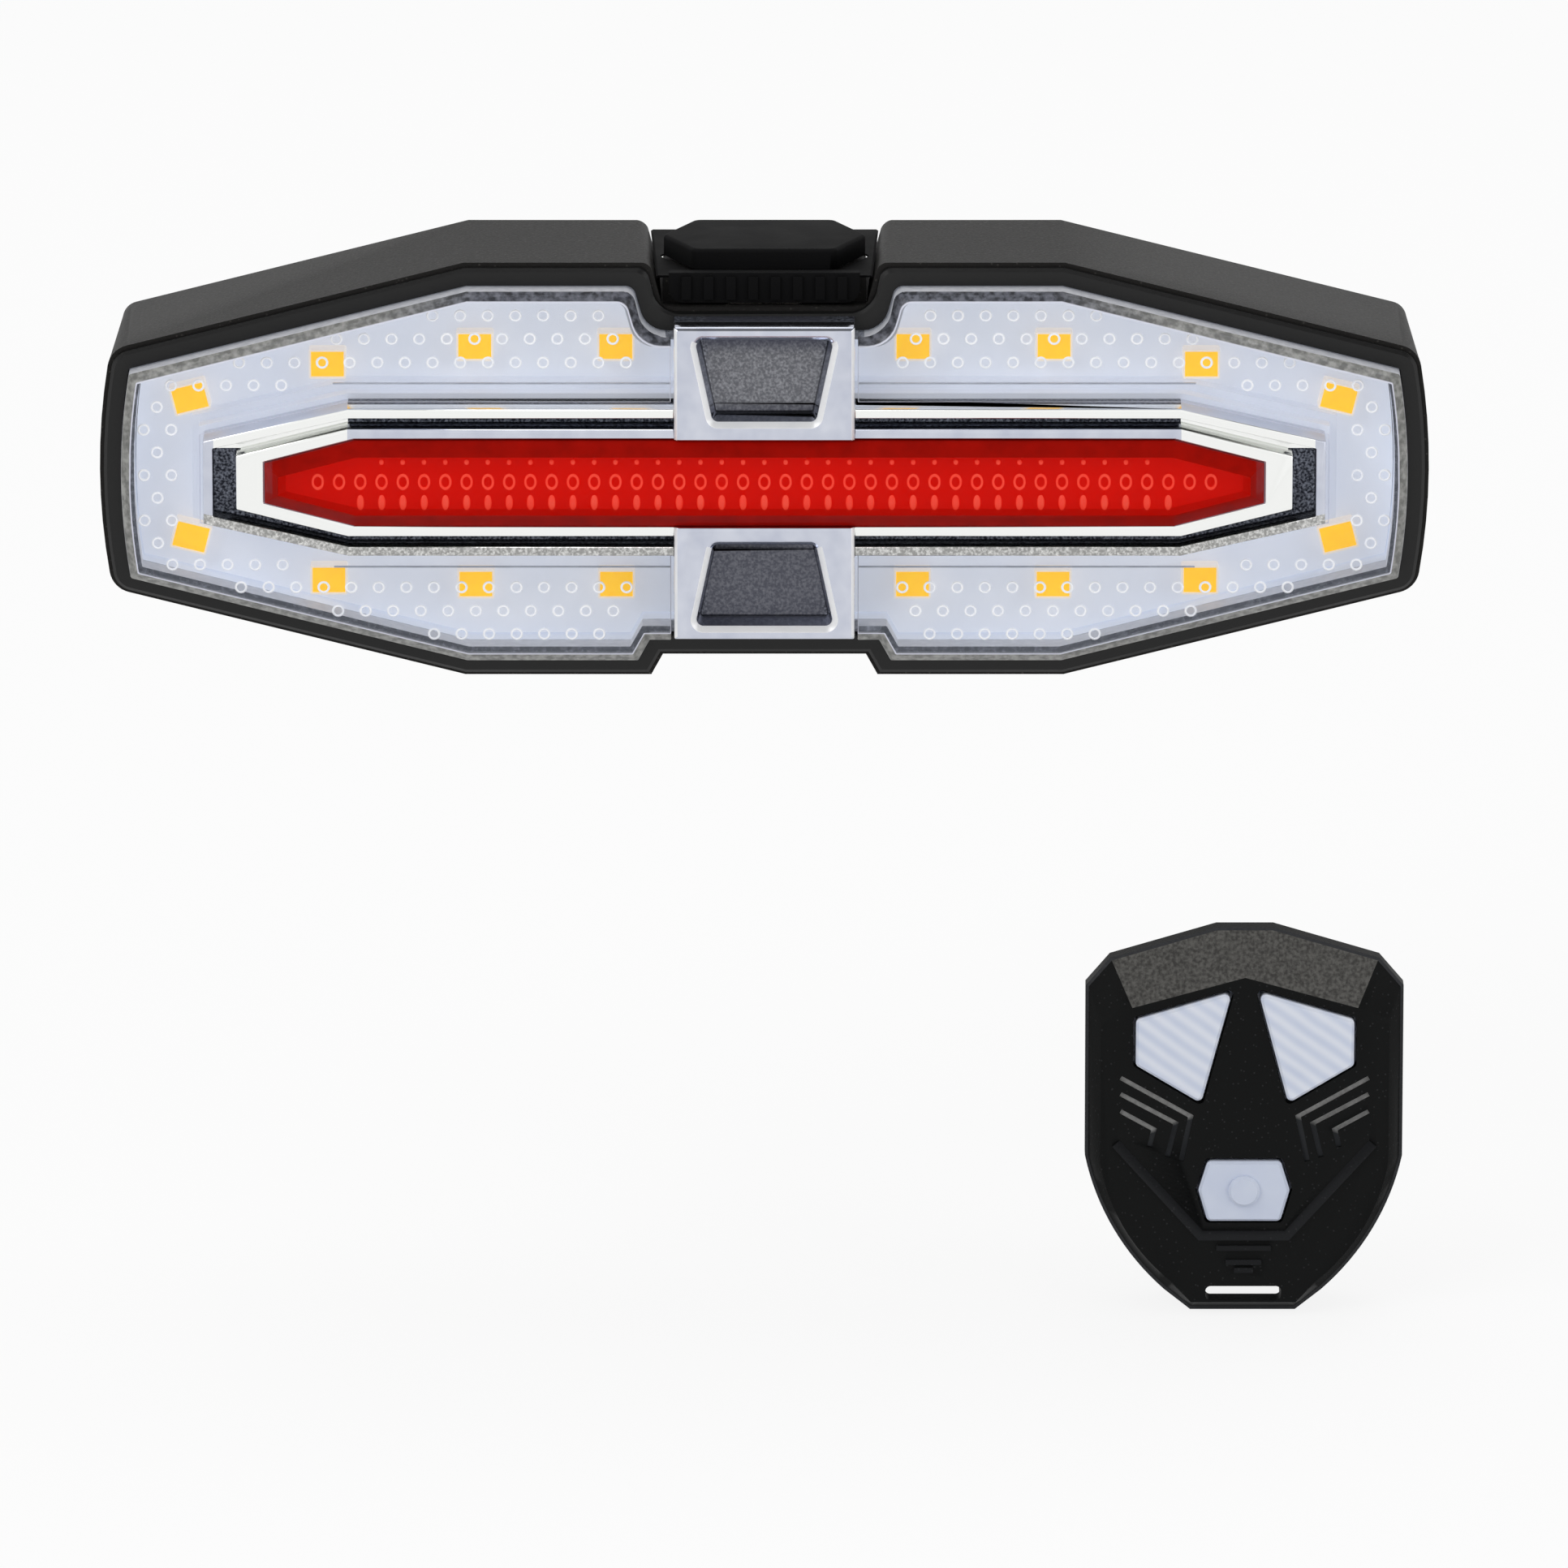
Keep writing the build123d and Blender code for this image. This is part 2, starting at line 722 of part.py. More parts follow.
# Push button: a hexagonal rubber pad with a stem that reaches the switch.
with BuildPart() as power_button:
    with BuildSketch(Plane.XY.offset(pad_bottom_z)):
        with Locations((0, -pad_centre)):
            add(pad_outline())
    extrude(amount=pad_top_z - pad_bottom_z)
    fillet(power_button.faces().sort_by(Axis.Z)[-1].edges(), pad_edge)
    with BuildSketch(Plane.XY.offset(stem_bottom_z)):
        with Locations((0, -pad_centre)):
            Circle(stem_radius)
    extrude(amount=pad_bottom_z - stem_bottom_z)
power_button.part.label = "power_button"
export_step(power_button.part, "parts/power_button.step")

# Charging cover: a ribbed rubber flap in front of the charging socket, which swings
# forwards and up about its top edge.
flap_back = platform_front + piece_gap
flap_top_z = base_top_z
flap_mid_z = flap_top_z - flap_height / 2
with BuildPart() as charging_cover:
    with BuildSketch(layer(flap_back)) as flap:
        with Locations((0, flap_mid_z)):
            Rectangle(2 * flap_half_width, flap_height)
        fillet(flap.vertices().group_by(Axis.Y)[0], flap_corner_radius)
    extrude(amount=flap_thickness)
    with BuildSketch(layer(flap_back + flap_thickness)):
        with Locations((0, flap_mid_z)):
            with GridLocations(rib_pitch, 0, rib_count, 1):
                Rectangle(rib_width, flap_height - 2 * rib_proud)
    extrude(amount=rib_proud, taper=housing_draft)
charging_cover.part.label = "charging_cover"
export_step(charging_cover.part, "parts/charging_cover.step")

# Charging socket: a folded metal shell, open to the front, with its tongue.
socket_mid_z = (socket_top_z + socket_bottom_z) / 2
with BuildPart() as charging_socket:
    with BuildSketch(layer(platform_front - socket_length)) as shell:
        with Locations((0, socket_mid_z)):
            Rectangle(socket_width, socket_height)
        fillet(shell.vertices(), socket_corner_radius)
    extrude(amount=socket_length)
    with BuildSketch(layer(platform_front - socket_length + socket_wall)) as mouth:
        with Locations((0, socket_mid_z)):
            Rectangle(socket_width - 2 * socket_wall, socket_height - 2 * socket_wall)
        fillet(mouth.vertices(), socket_wall)
    extrude(amount=socket_length, mode=Mode.SUBTRACT)
    with BuildSketch(layer(platform_front - socket_length)):
        with Locations((0, socket_mid_z + socket_wall)):
            Rectangle(socket_width / 2, 2 * socket_wall)
    extrude(amount=socket_length - 2 * socket_wall)
charging_socket.part.label = "charging_socket"
export_step(charging_socket.part, "parts/charging_socket.step")

# Small board below the button, with the switch that the button presses.
switch_board_front = platform_front - notch_wall - small_board_margin / 2
with BuildPart() as switch_board:
    with BuildSketch(Plane.XY.offset(small_board_z)):
        with Locations((0, -(switch_board_front + cavity_back + small_board_margin) / 2)):
            Rectangle(
                2 * small_board_half_width - fit_gap,
                switch_board_front - cavity_back - small_board_margin,
            )
    extrude(amount=small_board_thickness)
switch_board.part.label = "switch_board"
export_step(switch_board.part, "parts/switch_board.step")

with BuildPart() as power_switch:
    with BuildSketch(Plane.XY.offset(socket_bottom_z)):
        with Locations((0, -pad_centre)):
            Rectangle(switch_side, switch_side)
    extrude(amount=switch_height)
    with BuildSketch(Plane.XY.offset(socket_bottom_z + switch_height)):
        with Locations((0, -pad_centre)):
            Circle(plunger_radius)
    extrude(amount=plunger_height)
power_switch.part.label = "power_switch"
export_step(power_switch.part, "parts/power_switch.step")

# Flat lithium battery on a foam pad, to the left of the T slot.
battery_x = -(slot_box_half + piece_gap + battery_length / 2)
with BuildPart() as battery_foam:
    with BuildSketch(layer(cavity_back)):
        with Locations((battery_x, 0)):
            Rectangle(battery_length - 2 * battery_edge, battery_height - 2 * battery_edge)
    extrude(amount=foam_thickness)
battery_foam.part.label = "battery_foam"
export_step(battery_foam.part, "parts/battery_foam.step")

with BuildPart() as battery:
    with BuildSketch(layer(cavity_back + foam_thickness)):
        with Locations((battery_x, 0)):
            Rectangle(battery_length, battery_height)
    extrude(amount=battery_thickness)
    fillet(battery.edges().filter_by(Axis.Z), battery_edge)
battery.part.label = "battery"
export_step(battery.part, "parts/battery.step")

# Control board on two pillars of the housing, to the right of the T slot, with its
# processor, radio part and coils.
control_x = slot_box_half + piece_gap + control_length / 2
with BuildPart() as control_board:
    with BuildSketch(layer(control_back)):
        with Locations((control_x, 0)):
            Rectangle(control_length, control_height)
    extrude(amount=control_thickness)
    with BuildSketch(layer(control_front)):
        with Locations(
            (control_x - chip_side, chip_side),
            (control_x + chip_side, -chip_side / 2),
        ):
            Rectangle(chip_side, chip_side)
        with Locations((control_x - chip_side, -chip_side), (control_x + 2 * chip_side, chip_side)):
            Circle(coil_radius)
    extrude(amount=chip_thickness)
control_board.part.label = "control_board"
export_step(control_board.part, "parts/control_board.step")

# Six screws from the back, which pull the bezel into the housing.
screw_seat = housing_back + counterbore_depth
with BuildPart() as housing_screws:
    with BuildSketch(layer(screw_seat)):
        with Locations(*boss_places):
            Circle(screw_radius)
    extrude(amount=screw_length)
    with BuildSketch(layer(screw_seat - screw_head_height)):
        with Locations(*boss_places):
            Circle(screw_head_radius)
    extrude(amount=screw_head_height)
    with BuildSketch(layer(screw_seat - screw_head_height)):
        with Locations(*boss_places):
            Rectangle(screw_drive_length, screw_drive_width)
        with Locations(*boss_places):
            Rectangle(screw_drive_width, screw_drive_length)
    extrude(amount=screw_drive_depth, mode=Mode.SUBTRACT)
housing_screws.part.label = "housing_screws"
export_step(housing_screws.part, "parts/housing_screws.step")

# Bracket: a saddle for the seat post, with the T rail in front and a vertical peg in a
# lug on each side for the eyes of the rubber strap.
rail_top_z = slide_stop_z
with BuildPart() as saddle_bracket:
    with BuildSketch(Plane.XY.offset(-bracket_half_height)):
        with BuildLine():
            Polyline(
                (-bracket_half_width, -bracket_front),
                (bracket_half_width, -bracket_front),
            )
            CenterArc((peg_x, -peg_depth), lug_radius, 0, 360)
            CenterArc((-peg_x, -peg_depth), lug_radius, 0, 360)
        make_hull()
        Circle(saddle_radius, mode=Mode.SUBTRACT)
    extrude(amount=2 * bracket_half_height)
    chamfer(
        saddle_bracket.faces().sort_by(Axis.Y)[0].edges().filter_by(Axis.X),
        bracket_edge_radius,
    )
    with BuildSketch(Plane.XY.offset(-bracket_half_height)):
        with Locations((0, -bracket_front - rail_neck_length / 2 + overrun / 2)):
            Rectangle(2 * rail_neck_half, rail_neck_length + overrun)
        with Locations((0, -bracket_front - rail_neck_length - rail_head_thickness / 2)):
            Rectangle(2 * rail_head_half, rail_head_thickness)
    extrude(amount=bracket_half_height + rail_top_z)
    with BuildSketch(Plane.XY.offset(-strap_half_height - lug_gap)):
        with Locations((peg_x, -peg_depth), (-peg_x, -peg_depth)):
            Circle(peg_radius + fit_gap + strap_eye_wall + lug_pocket_gap)
    extrude(amount=2 * (strap_half_height + lug_gap), mode=Mode.SUBTRACT)
    with BuildSketch(Plane.XY.offset(-bracket_half_height)):
        with Locations((peg_x, -peg_depth), (-peg_x, -peg_depth)):
            Circle(peg_radius)
    extrude(amount=2 * bracket_half_height)
saddle_bracket.part.label = "saddle_bracket"
export_step(saddle_bracket.part, "parts/saddle_bracket.step")

# Rubber pad in the saddle, against the seat post.
with BuildPart() as saddle_pad:
    with BuildSketch(Plane.XY.offset(-pad_half_height)):
        with BuildLine():
            CenterArc((0, 0), saddle_radius, 270 - pad_half_angle, 2 * pad_half_angle)
            CenterArc((0, 0), post_radius, 270 - pad_half_angle, 2 * pad_half_angle)
            Line(
                PolarLocations(saddle_radius, 1, 270 - pad_half_angle).locations[0].position,
                PolarLocations(post_radius, 1, 270 - pad_half_angle).locations[0].position,
            )
            Line(
                PolarLocations(saddle_radius, 1, 270 + pad_half_angle).locations[0].position,
                PolarLocations(post_radius, 1, 270 + pad_half_angle).locations[0].position,
            )
        make_face()
    extrude(amount=2 * pad_half_height)
saddle_pad.part.label = "saddle_pad"
export_step(saddle_pad.part, "parts/saddle_pad.step")

# Rubber strap round the back of the post, with an eye over each peg.
eye_inner = peg_radius + fit_gap
eye_outer = eye_inner + strap_eye_wall
with BuildPart() as post_strap:
    with BuildSketch(Plane.XY.offset(-strap_half_height)) as band:
        with BuildLine():
            CenterArc((0, 0), post_radius + strap_thickness, 0, 360)
            CenterArc((peg_x, -peg_depth), eye_outer, 0, 360)
            CenterArc((-peg_x, -peg_depth), eye_outer, 0, 360)
        make_hull()
        with BuildSketch(mode=Mode.SUBTRACT):
            with BuildLine():
                CenterArc((0, 0), post_radius, 0, 360)
                CenterArc((peg_x, -peg_depth), eye_inner, 0, 360)
                CenterArc((-peg_x, -peg_depth), eye_inner, 0, 360)
            make_hull()
        with Locations((0, -peg_depth - eye_outer)):
            Rectangle(2 * (peg_x - eye_inner), 2 * eye_outer, mode=Mode.SUBTRACT)
        with Locations((peg_x, -peg_depth), (-peg_x, -peg_depth)):
            Circle(eye_outer)
        with Locations((peg_x, -peg_depth), (-peg_x, -peg_depth)):
            Circle(eye_inner, mode=Mode.SUBTRACT)
    extrude(amount=2 * strap_half_height)
post_strap.part.label = "post_strap"
export_step(post_strap.part, "parts/post_strap.step")


def remote_outline(inset=0.0):
    """Shield shape of the remote, from the top of its outline down."""
    with BuildSketch() as outline:
        with BuildLine():
            Polyline(
                (0, 0),
                (remote_top_flat, 0),
                (remote_shoulder_x, -remote_shoulder_drop),
                (remote_half_width, -remote_side_top),
                (remote_half_width, -remote_side_bottom),
            )
            ThreePointArc(
                (remote_half_width, -remote_side_bottom),
                (remote_curve_x, -remote_curve_drop),
                (remote_toe_x, -remote_toe_drop),
            )
            Polyline(
                (remote_toe_x, -remote_toe_drop),
                (remote_foot_half, -remote_height),
                (0, -remote_height),
            )
            mirror(about=Plane.YZ)
        make_face()
        if inset > 0:
            offset(amount=-inset, kind=Kind.INTERSECTION)
    return outline.sketch


def plateau_outline():
    """Raised middle of the remote's front, below its two sloped top facets."""
    foot = remote_height - remote_plateau_inset
    side_x = remote_half_width - remote_plateau_inset
    toe_x = remote_toe_x - remote_plateau_inset / 2
    with BuildSketch() as plateau:
        with BuildLine():
            Polyline(
                (0, -remote_plateau_top),
                (remote_plateau_shoulder_x, -remote_plateau_shoulder),
                (side_x, -remote_plateau_shoulder - remote_plateau_inset),
                (side_x, -remote_side_bottom),
            )
            ThreePointArc(
                (side_x, -remote_side_bottom),
                (remote_curve_x - remote_plateau_inset, -remote_curve_drop),
                (toe_x, -remote_toe_drop + remote_plateau_inset),
            )
            Polyline(
                (toe_x, -remote_toe_drop + remote_plateau_inset),
                (remote_foot_half, -foot),
                (0, -foot),
            )
            mirror(about=Plane.YZ)
        make_face()
    return plateau.sketch


def side_key(side, margin=0.0):
    """Four-sided key of the remote, on the left with side -1 and on the right with 1."""
    with BuildSketch() as key:
        Polygon(
            (side * key_inner_top_x, -key_inner_top),
            (side * key_outer_x, -key_outer_top),
            (side * key_outer_x, -key_outer_bottom),
            (side * key_inner_bottom_x, -key_inner_bottom),
            align=None,
        )
        offset(amount=margin - key_gap, kind=Kind.INTERSECTION)
        fillet(key.vertices(), key_corner_radius)
    return key.sketch


def centre_key(margin=0.0):
    """Hexagonal key of the remote."""
    with BuildSketch() as key:
        Polygon(
            (-centre_flat_half, -centre_top),
            (centre_flat_half, -centre_top),
            (centre_wide_half, -centre_middle),
            (centre_flat_half, -centre_bottom),
            (-centre_flat_half, -centre_bottom),
            (-centre_wide_half, -centre_middle),
            align=None,
        )
        offset(amount=margin - key_gap, kind=Kind.INTERSECTION)
        fillet(key.vertices(), key_corner_radius)
    return key.sketch


def side_lines(side):
    """Sloped line of the collar on one side of the remote."""
    return (side * collar_outer_x, -collar_top), (side * collar_foot_x, -collar_foot)


remote_back = remote_split_depth - remote_back_thickness
rim_front = remote_split_depth + remote_rim_thickness
plateau_depth = remote_split_depth + remote_front_thickness
skin_back = plateau_depth - remote_plateau_skin
remote_board_front = remote_split_depth + fit_gap
remote_board_back = remote_board_front - remote_board_thickness
key_switch_front = remote_board_front + key_switch_height
key_back = key_switch_front + piece_gap + key_travel
key_front = plateau_depth + key_proud
cell_front = remote_board_back - contact_thickness
cell_back = cell_front - cell_thickness
door_front = remote_back + door_thickness
lip_front = door_front + seal_ring_height + door_lip
tray_share = (remote_split_depth - lip_front) / remote_back_thickness
board_share = (remote_split_depth - remote_board_back) / remote_back_thickness
foot_block = 2 * (remote_height - slot_top + lanyard_wall)

# Front shell of the remote: a rim, sloped facets up to a raised middle, three openings
# for the keys, a raised V collar, grooves in the sides and a slot for a lanyard, which
# goes round a bar that is open at its back.
with BuildPart() as remote_front_shell:
    with BuildSketch(remote_layer(remote_split_depth)):
        add(remote_outline())
    extrude(amount=remote_rim_thickness)
    with BuildSketch(remote_layer(rim_front)):
        add(remote_outline(rim_edge))
    with BuildSketch(remote_layer(plateau_depth)):
        add(plateau_outline())
    loft(ruled=True)
    with BuildSketch(remote_layer(remote_split_depth)):
        add(remote_outline(remote_wall))
        with Locations((0, -remote_height)):
            Rectangle(2 * remote_half_width, foot_block, mode=Mode.SUBTRACT)
    extrude(amount=remote_rim_thickness, mode=Mode.SUBTRACT)
    with BuildSketch(remote_layer(rim_front)) as well:
        add(plateau_outline())
        offset(amount=-remote_wall, kind=Kind.INTERSECTION)
        with Locations((0, -remote_height)):
            Rectangle(2 * remote_half_width, foot_block, mode=Mode.SUBTRACT)
    extrude(amount=skin_back - rim_front, mode=Mode.SUBTRACT)
    with BuildSketch(remote_layer(plateau_depth)):
        with BuildLine():
            for side in (-1, 1):
                Line(*side_lines(side))
            Line(side_lines(-1)[1], side_lines(1)[1])
        trace(line_width=collar_width)
    extrude(amount=collar_height)
    with BuildSketch(remote_layer(plateau_depth)):
        for drop, rib_half in zip(foot_rib_drops, foot_rib_halves):
            with Locations((0, -drop)):
                Rectangle(2 * rib_half, foot_rib_width)
    extrude(amount=foot_rib_height)
    with BuildSketch(remote_layer(plateau_depth - groove_depth)):
        for start, bend, bend_x, end, end_x in zip(
            groove_starts, groove_bends, groove_bend_x, groove_ends, groove_end_x
        ):
            for side in (-1, 1):
                with BuildLine():
                    Line((side * groove_outer_x, -start), (side * bend_x, -bend))
                    Line((side * bend_x, -bend), (side * end_x, -end))
                trace(line_width=groove_width)
    extrude(amount=groove_depth + overrun, mode=Mode.SUBTRACT)
    with BuildSketch(remote_layer(remote_split_depth)):
        add(side_key(-1, key_gap))
        add(side_key(1, key_gap))
        add(centre_key(key_gap))
    extrude(amount=remote_front_thickness + overrun, mode=Mode.SUBTRACT)
    with BuildSketch(remote_layer(remote_split_depth)) as lanyard:
        with Locations((0, -(slot_top + slot_bottom) / 2)):
            Rectangle(2 * slot_half_width, slot_bottom - slot_top)
        fillet(lanyard.vertices(), slot_corner_radius)
    extrude(amount=remote_front_thickness + overrun, mode=Mode.SUBTRACT)
    with BuildSketch(remote_layer(remote_split_depth)):
        with Locations((0, -(slot_top + remote_height - lanyard_lip) / 2)):
            Rectangle(2 * slot_half_width, remote_height - lanyard_lip - slot_top)
    extrude(amount=remote_front_thickness - lanyard_bar, mode=Mode.SUBTRACT)
remote_front_shell.part.label = "remote_front_shell"
export_step(remote_front_shell.part, "parts/remote_front_shell.step")

# Back shell of the remote: a tray with tapered sides and a round opening for the battery
# door, with a seat for its seal, and a solid foot with a notch behind the lanyard bar.
with BuildPart() as tray:
    with BuildSketch(remote_layer(lip_front)):
        add(remote_outline(remote_wall + remote_back_taper * tray_share))
    with BuildSketch(remote_layer(remote_split_depth)):
        add(remote_outline(remote_wall))
    loft(ruled=True)
    with BuildSketch(remote_layer(lip_front)):
        with Locations((0, -remote_height)):
            Rectangle(2 * remote_half_width, foot_block)
    extrude(amount=remote_split_depth - lip_front, mode=Mode.SUBTRACT)
with BuildPart() as remote_back_shell:
    with BuildSketch(remote_layer(remote_back)):
        add(remote_outline(remote_back_taper))
    with BuildSketch(remote_layer(remote_split_depth)):
        add(remote_outline())
    loft(ruled=True)
    add(tray.part, mode=Mode.SUBTRACT)
    with BuildSketch(remote_layer(remote_back)):
        with Locations((0, -cell_drop)):
            Circle(door_radius + door_gap)
    extrude(amount=lip_front - door_lip - remote_back, mode=Mode.SUBTRACT)
    with BuildSketch(remote_layer(remote_back)):
        with Locations((0, -cell_drop)):
            Circle(cell_radius + door_gap)
    extrude(amount=lip_front - remote_back, mode=Mode.SUBTRACT)
    with BuildSketch(remote_layer(remote_back)):
        with Locations((0, -(slot_top + remote_height + overrun) / 2)):
            Rectangle(2 * slot_half_width, remote_height + overrun - slot_top)
    extrude(amount=remote_back_thickness, mode=Mode.SUBTRACT)
remote_back_shell.part.label = "remote_back_shell"
export_step(remote_back_shell.part, "parts/remote_back_shell.step")

# Round battery door with a slot for a coin, turned in its own opening.
with BuildPart() as battery_door:
    with BuildSketch(remote_layer(remote_back)):
        with Locations((0, -cell_drop)):
            Circle(door_radius)
    extrude(amount=door_thickness)
    with BuildSketch(remote_layer(remote_back)):
        with Locations((0, -cell_drop)):
            Rectangle(door_slot_length, door_slot_width)
    extrude(amount=door_slot_depth, mode=Mode.SUBTRACT)
battery_door.part.label = "battery_door"
export_step(battery_door.part, "parts/battery_door.step")

# Rubber ring between the battery door and the back shell.
with BuildPart() as door_seal:
    with BuildSketch(remote_layer(door_front + door_gap)):
        with Locations((0, -cell_drop)):
            Circle(door_radius)
            Circle(door_radius - seal_ring_width, mode=Mode.SUBTRACT)
    extrude(amount=seal_ring_height - door_gap)
door_seal.part.label = "door_seal"
export_step(door_seal.part, "parts/door_seal.step")

# Coin cell and the spring contact between it and the board.
with BuildPart() as coin_cell:
    with BuildSketch(remote_layer(cell_back)):
        with Locations((0, -cell_drop)):
            Circle(cell_radius)
    extrude(amount=cell_thickness)
    chamfer(coin_cell.edges().filter_by(GeomType.CIRCLE), key_gap)
coin_cell.part.label = "coin_cell"
export_step(coin_cell.part, "parts/coin_cell.step")

with BuildPart() as cell_contact:
    with BuildSketch(remote_layer(cell_front)):
        with Locations((0, -cell_drop)):
            Rectangle(2 * cell_radius, contact_width)
    extrude(amount=contact_thickness)
cell_contact.part.label = "cell_contact"
export_step(cell_contact.part, "parts/cell_contact.step")

# Board of the remote, which rests on the edge of the back shell's tray.
with BuildPart() as remote_board:
    with BuildSketch(remote_layer(remote_board_back)):
        add(remote_outline(remote_wall + fit_gap + remote_back_taper * board_share))
        with Locations((0, -remote_height)):
            Rectangle(
                2 * remote_half_width,
                2 * (remote_height - slot_top + remote_wall),
                mode=Mode.SUBTRACT,
            )
    extrude(amount=remote_board_thickness)
remote_board.part.label = "remote_board"
export_step(remote_board.part, "parts/remote_board.step")

# Three switches under the keys.
key_mid_x = (key_outer_x + key_inner_bottom_x) / 2
key_mid_drop = (key_inner_top + key_inner_bottom) / 2
switch_places = [(-key_mid_x, -key_mid_drop), (key_mid_x, -key_mid_drop), (0, -centre_middle)]
with BuildPart() as remote_switches:
    with BuildSketch(remote_layer(remote_board_front)):
        with Locations(*switch_places):
            Rectangle(key_switch_side, key_switch_side)
    extrude(amount=key_switch_height)
remote_switches.part.label = "remote_switches"
export_step(remote_switches.part, "parts/remote_switches.step")

# The keys, each with a flange behind the skin of the front shell.
with BuildPart() as left_key:
    with BuildSketch(remote_layer(key_back)):
        add(side_key(-1))
    extrude(amount=key_front - key_back)
    chamfer(left_key.faces().sort_by(Axis.Y)[0].outer_wire().edges(), key_edge)
    with BuildSketch(remote_layer(key_back)):
        add(side_key(-1, key_foot_margin))
    extrude(amount=key_foot)
left_key.part.label = "left_key"
export_step(left_key.part, "parts/left_key.step")

with BuildPart() as right_key:
    with BuildSketch(remote_layer(key_back)):
        add(side_key(1))
    extrude(amount=key_front - key_back)
    chamfer(right_key.faces().sort_by(Axis.Y)[0].outer_wire().edges(), key_edge)
    with BuildSketch(remote_layer(key_back)):
        add(side_key(1, key_foot_margin))
    extrude(amount=key_foot)
right_key.part.label = "right_key"
export_step(right_key.part, "parts/right_key.step")

with BuildPart() as mode_key:
    with BuildSketch(remote_layer(key_back)):
        add(centre_key())
    extrude(amount=key_front - key_back)
    chamfer(mode_key.faces().sort_by(Axis.Y)[0].outer_wire().edges(), key_edge)
    with BuildSketch(remote_layer(key_back)):
        add(centre_key(key_foot_margin))
    extrude(amount=key_foot)
    with BuildSketch(remote_layer(key_front - key_edge)):
        with Locations((0, -centre_middle)):
            Circle(dome_radius)
    extrude(amount=dome_height + key_edge)
    chamfer(mode_key.edges().filter_by(GeomType.CIRCLE).sort_by(Axis.Y)[0], key_edge)
mode_key.part.label = "mode_key"
export_step(mode_key.part, "parts/mode_key.step")
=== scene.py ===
import math

import bmesh
import bpy
from mathutils import Matrix, Vector


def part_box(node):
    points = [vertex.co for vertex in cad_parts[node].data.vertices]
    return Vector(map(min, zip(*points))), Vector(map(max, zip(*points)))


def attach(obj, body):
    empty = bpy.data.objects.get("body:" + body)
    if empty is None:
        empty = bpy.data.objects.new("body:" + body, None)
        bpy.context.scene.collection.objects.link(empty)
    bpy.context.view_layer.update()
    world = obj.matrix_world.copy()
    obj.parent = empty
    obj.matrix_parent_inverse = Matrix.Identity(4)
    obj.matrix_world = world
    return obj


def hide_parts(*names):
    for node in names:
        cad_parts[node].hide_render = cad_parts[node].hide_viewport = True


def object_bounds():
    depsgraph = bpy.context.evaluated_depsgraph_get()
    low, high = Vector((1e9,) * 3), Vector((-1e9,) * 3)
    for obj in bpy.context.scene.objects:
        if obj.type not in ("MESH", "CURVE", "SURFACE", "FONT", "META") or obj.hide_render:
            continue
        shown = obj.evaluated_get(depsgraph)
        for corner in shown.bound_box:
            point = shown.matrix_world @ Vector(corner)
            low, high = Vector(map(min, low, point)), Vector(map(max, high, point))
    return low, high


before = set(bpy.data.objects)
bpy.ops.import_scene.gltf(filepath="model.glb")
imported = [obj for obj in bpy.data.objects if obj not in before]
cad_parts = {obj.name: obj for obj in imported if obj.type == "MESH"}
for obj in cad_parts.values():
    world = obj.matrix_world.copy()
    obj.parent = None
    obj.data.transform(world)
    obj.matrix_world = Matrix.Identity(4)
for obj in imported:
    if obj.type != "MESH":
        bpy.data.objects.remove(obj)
cad_low, cad_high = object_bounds()
scene = bpy.context.scene
scene.view_settings.view_transform = "Standard"

# Camera
# A long lens looks at the lamp from the front and a little from above. The picture is
# square, and 148.6 mm of the plane of the lamp's rim fills its width.
view_elevation = math.radians(15.0)
view_distance = 1.6
view_width = 0.1486
view_centre = Vector((0.00185, -0.0424, -0.0305))
camera_data = bpy.data.cameras.new("camera")
camera_data.sensor_width = 36
camera_data.lens = 36 * view_distance / view_width
camera = bpy.data.objects.new("camera", camera_data)
towards_camera = Vector((0, -math.cos(view_elevation), math.sin(view_elevation)))
camera.location = view_centre + towards_camera * view_distance
camera.rotation_euler = (math.pi / 2 - view_elevation, 0, 0)
scene.collection.objects.link(camera)
scene.camera = camera


# Floor and studio light
# A white sweep with soft light from all sides. Its white is in the colour that the camera,
# metal and glass see, and a seventh of the floor is plain paint that keeps the shadow.
def linear(code):
    """Colour from an sRGB code such as 8FA0B1, as linear values with full alpha."""
    parts = [int(code[i : i + 2], 16) / 255 for i in (0, 2, 4)]
    curve = [p / 12.92 if p <= 0.04045 else ((p + 0.055) / 1.055) ** 2.4 for p in parts]
    return (*curve, 1.0)


def add_node(tree, kind, inputs=None, **settings):
    """Adds a node with its settings, and each input as a value or as the socket that feeds it."""
    made = tree.nodes.new(kind)
    for name, value in settings.items():
        setattr(made, name, value)
    for name, value in (inputs or {}).items():
        if isinstance(value, bpy.types.NodeSocket):
            tree.links.new(value, made.inputs[name])
        else:
            made.inputs[name].default_value = value
    return made


def start_material(name):
    """A material, its emptied node tree, and the Object coordinates for its patterns."""
    material = bpy.data.materials.new(name)
    material.use_nodes = True
    tree = material.node_tree
    tree.nodes.clear()
    return material, tree, add_node(tree, "ShaderNodeTexCoord").outputs["Object"]


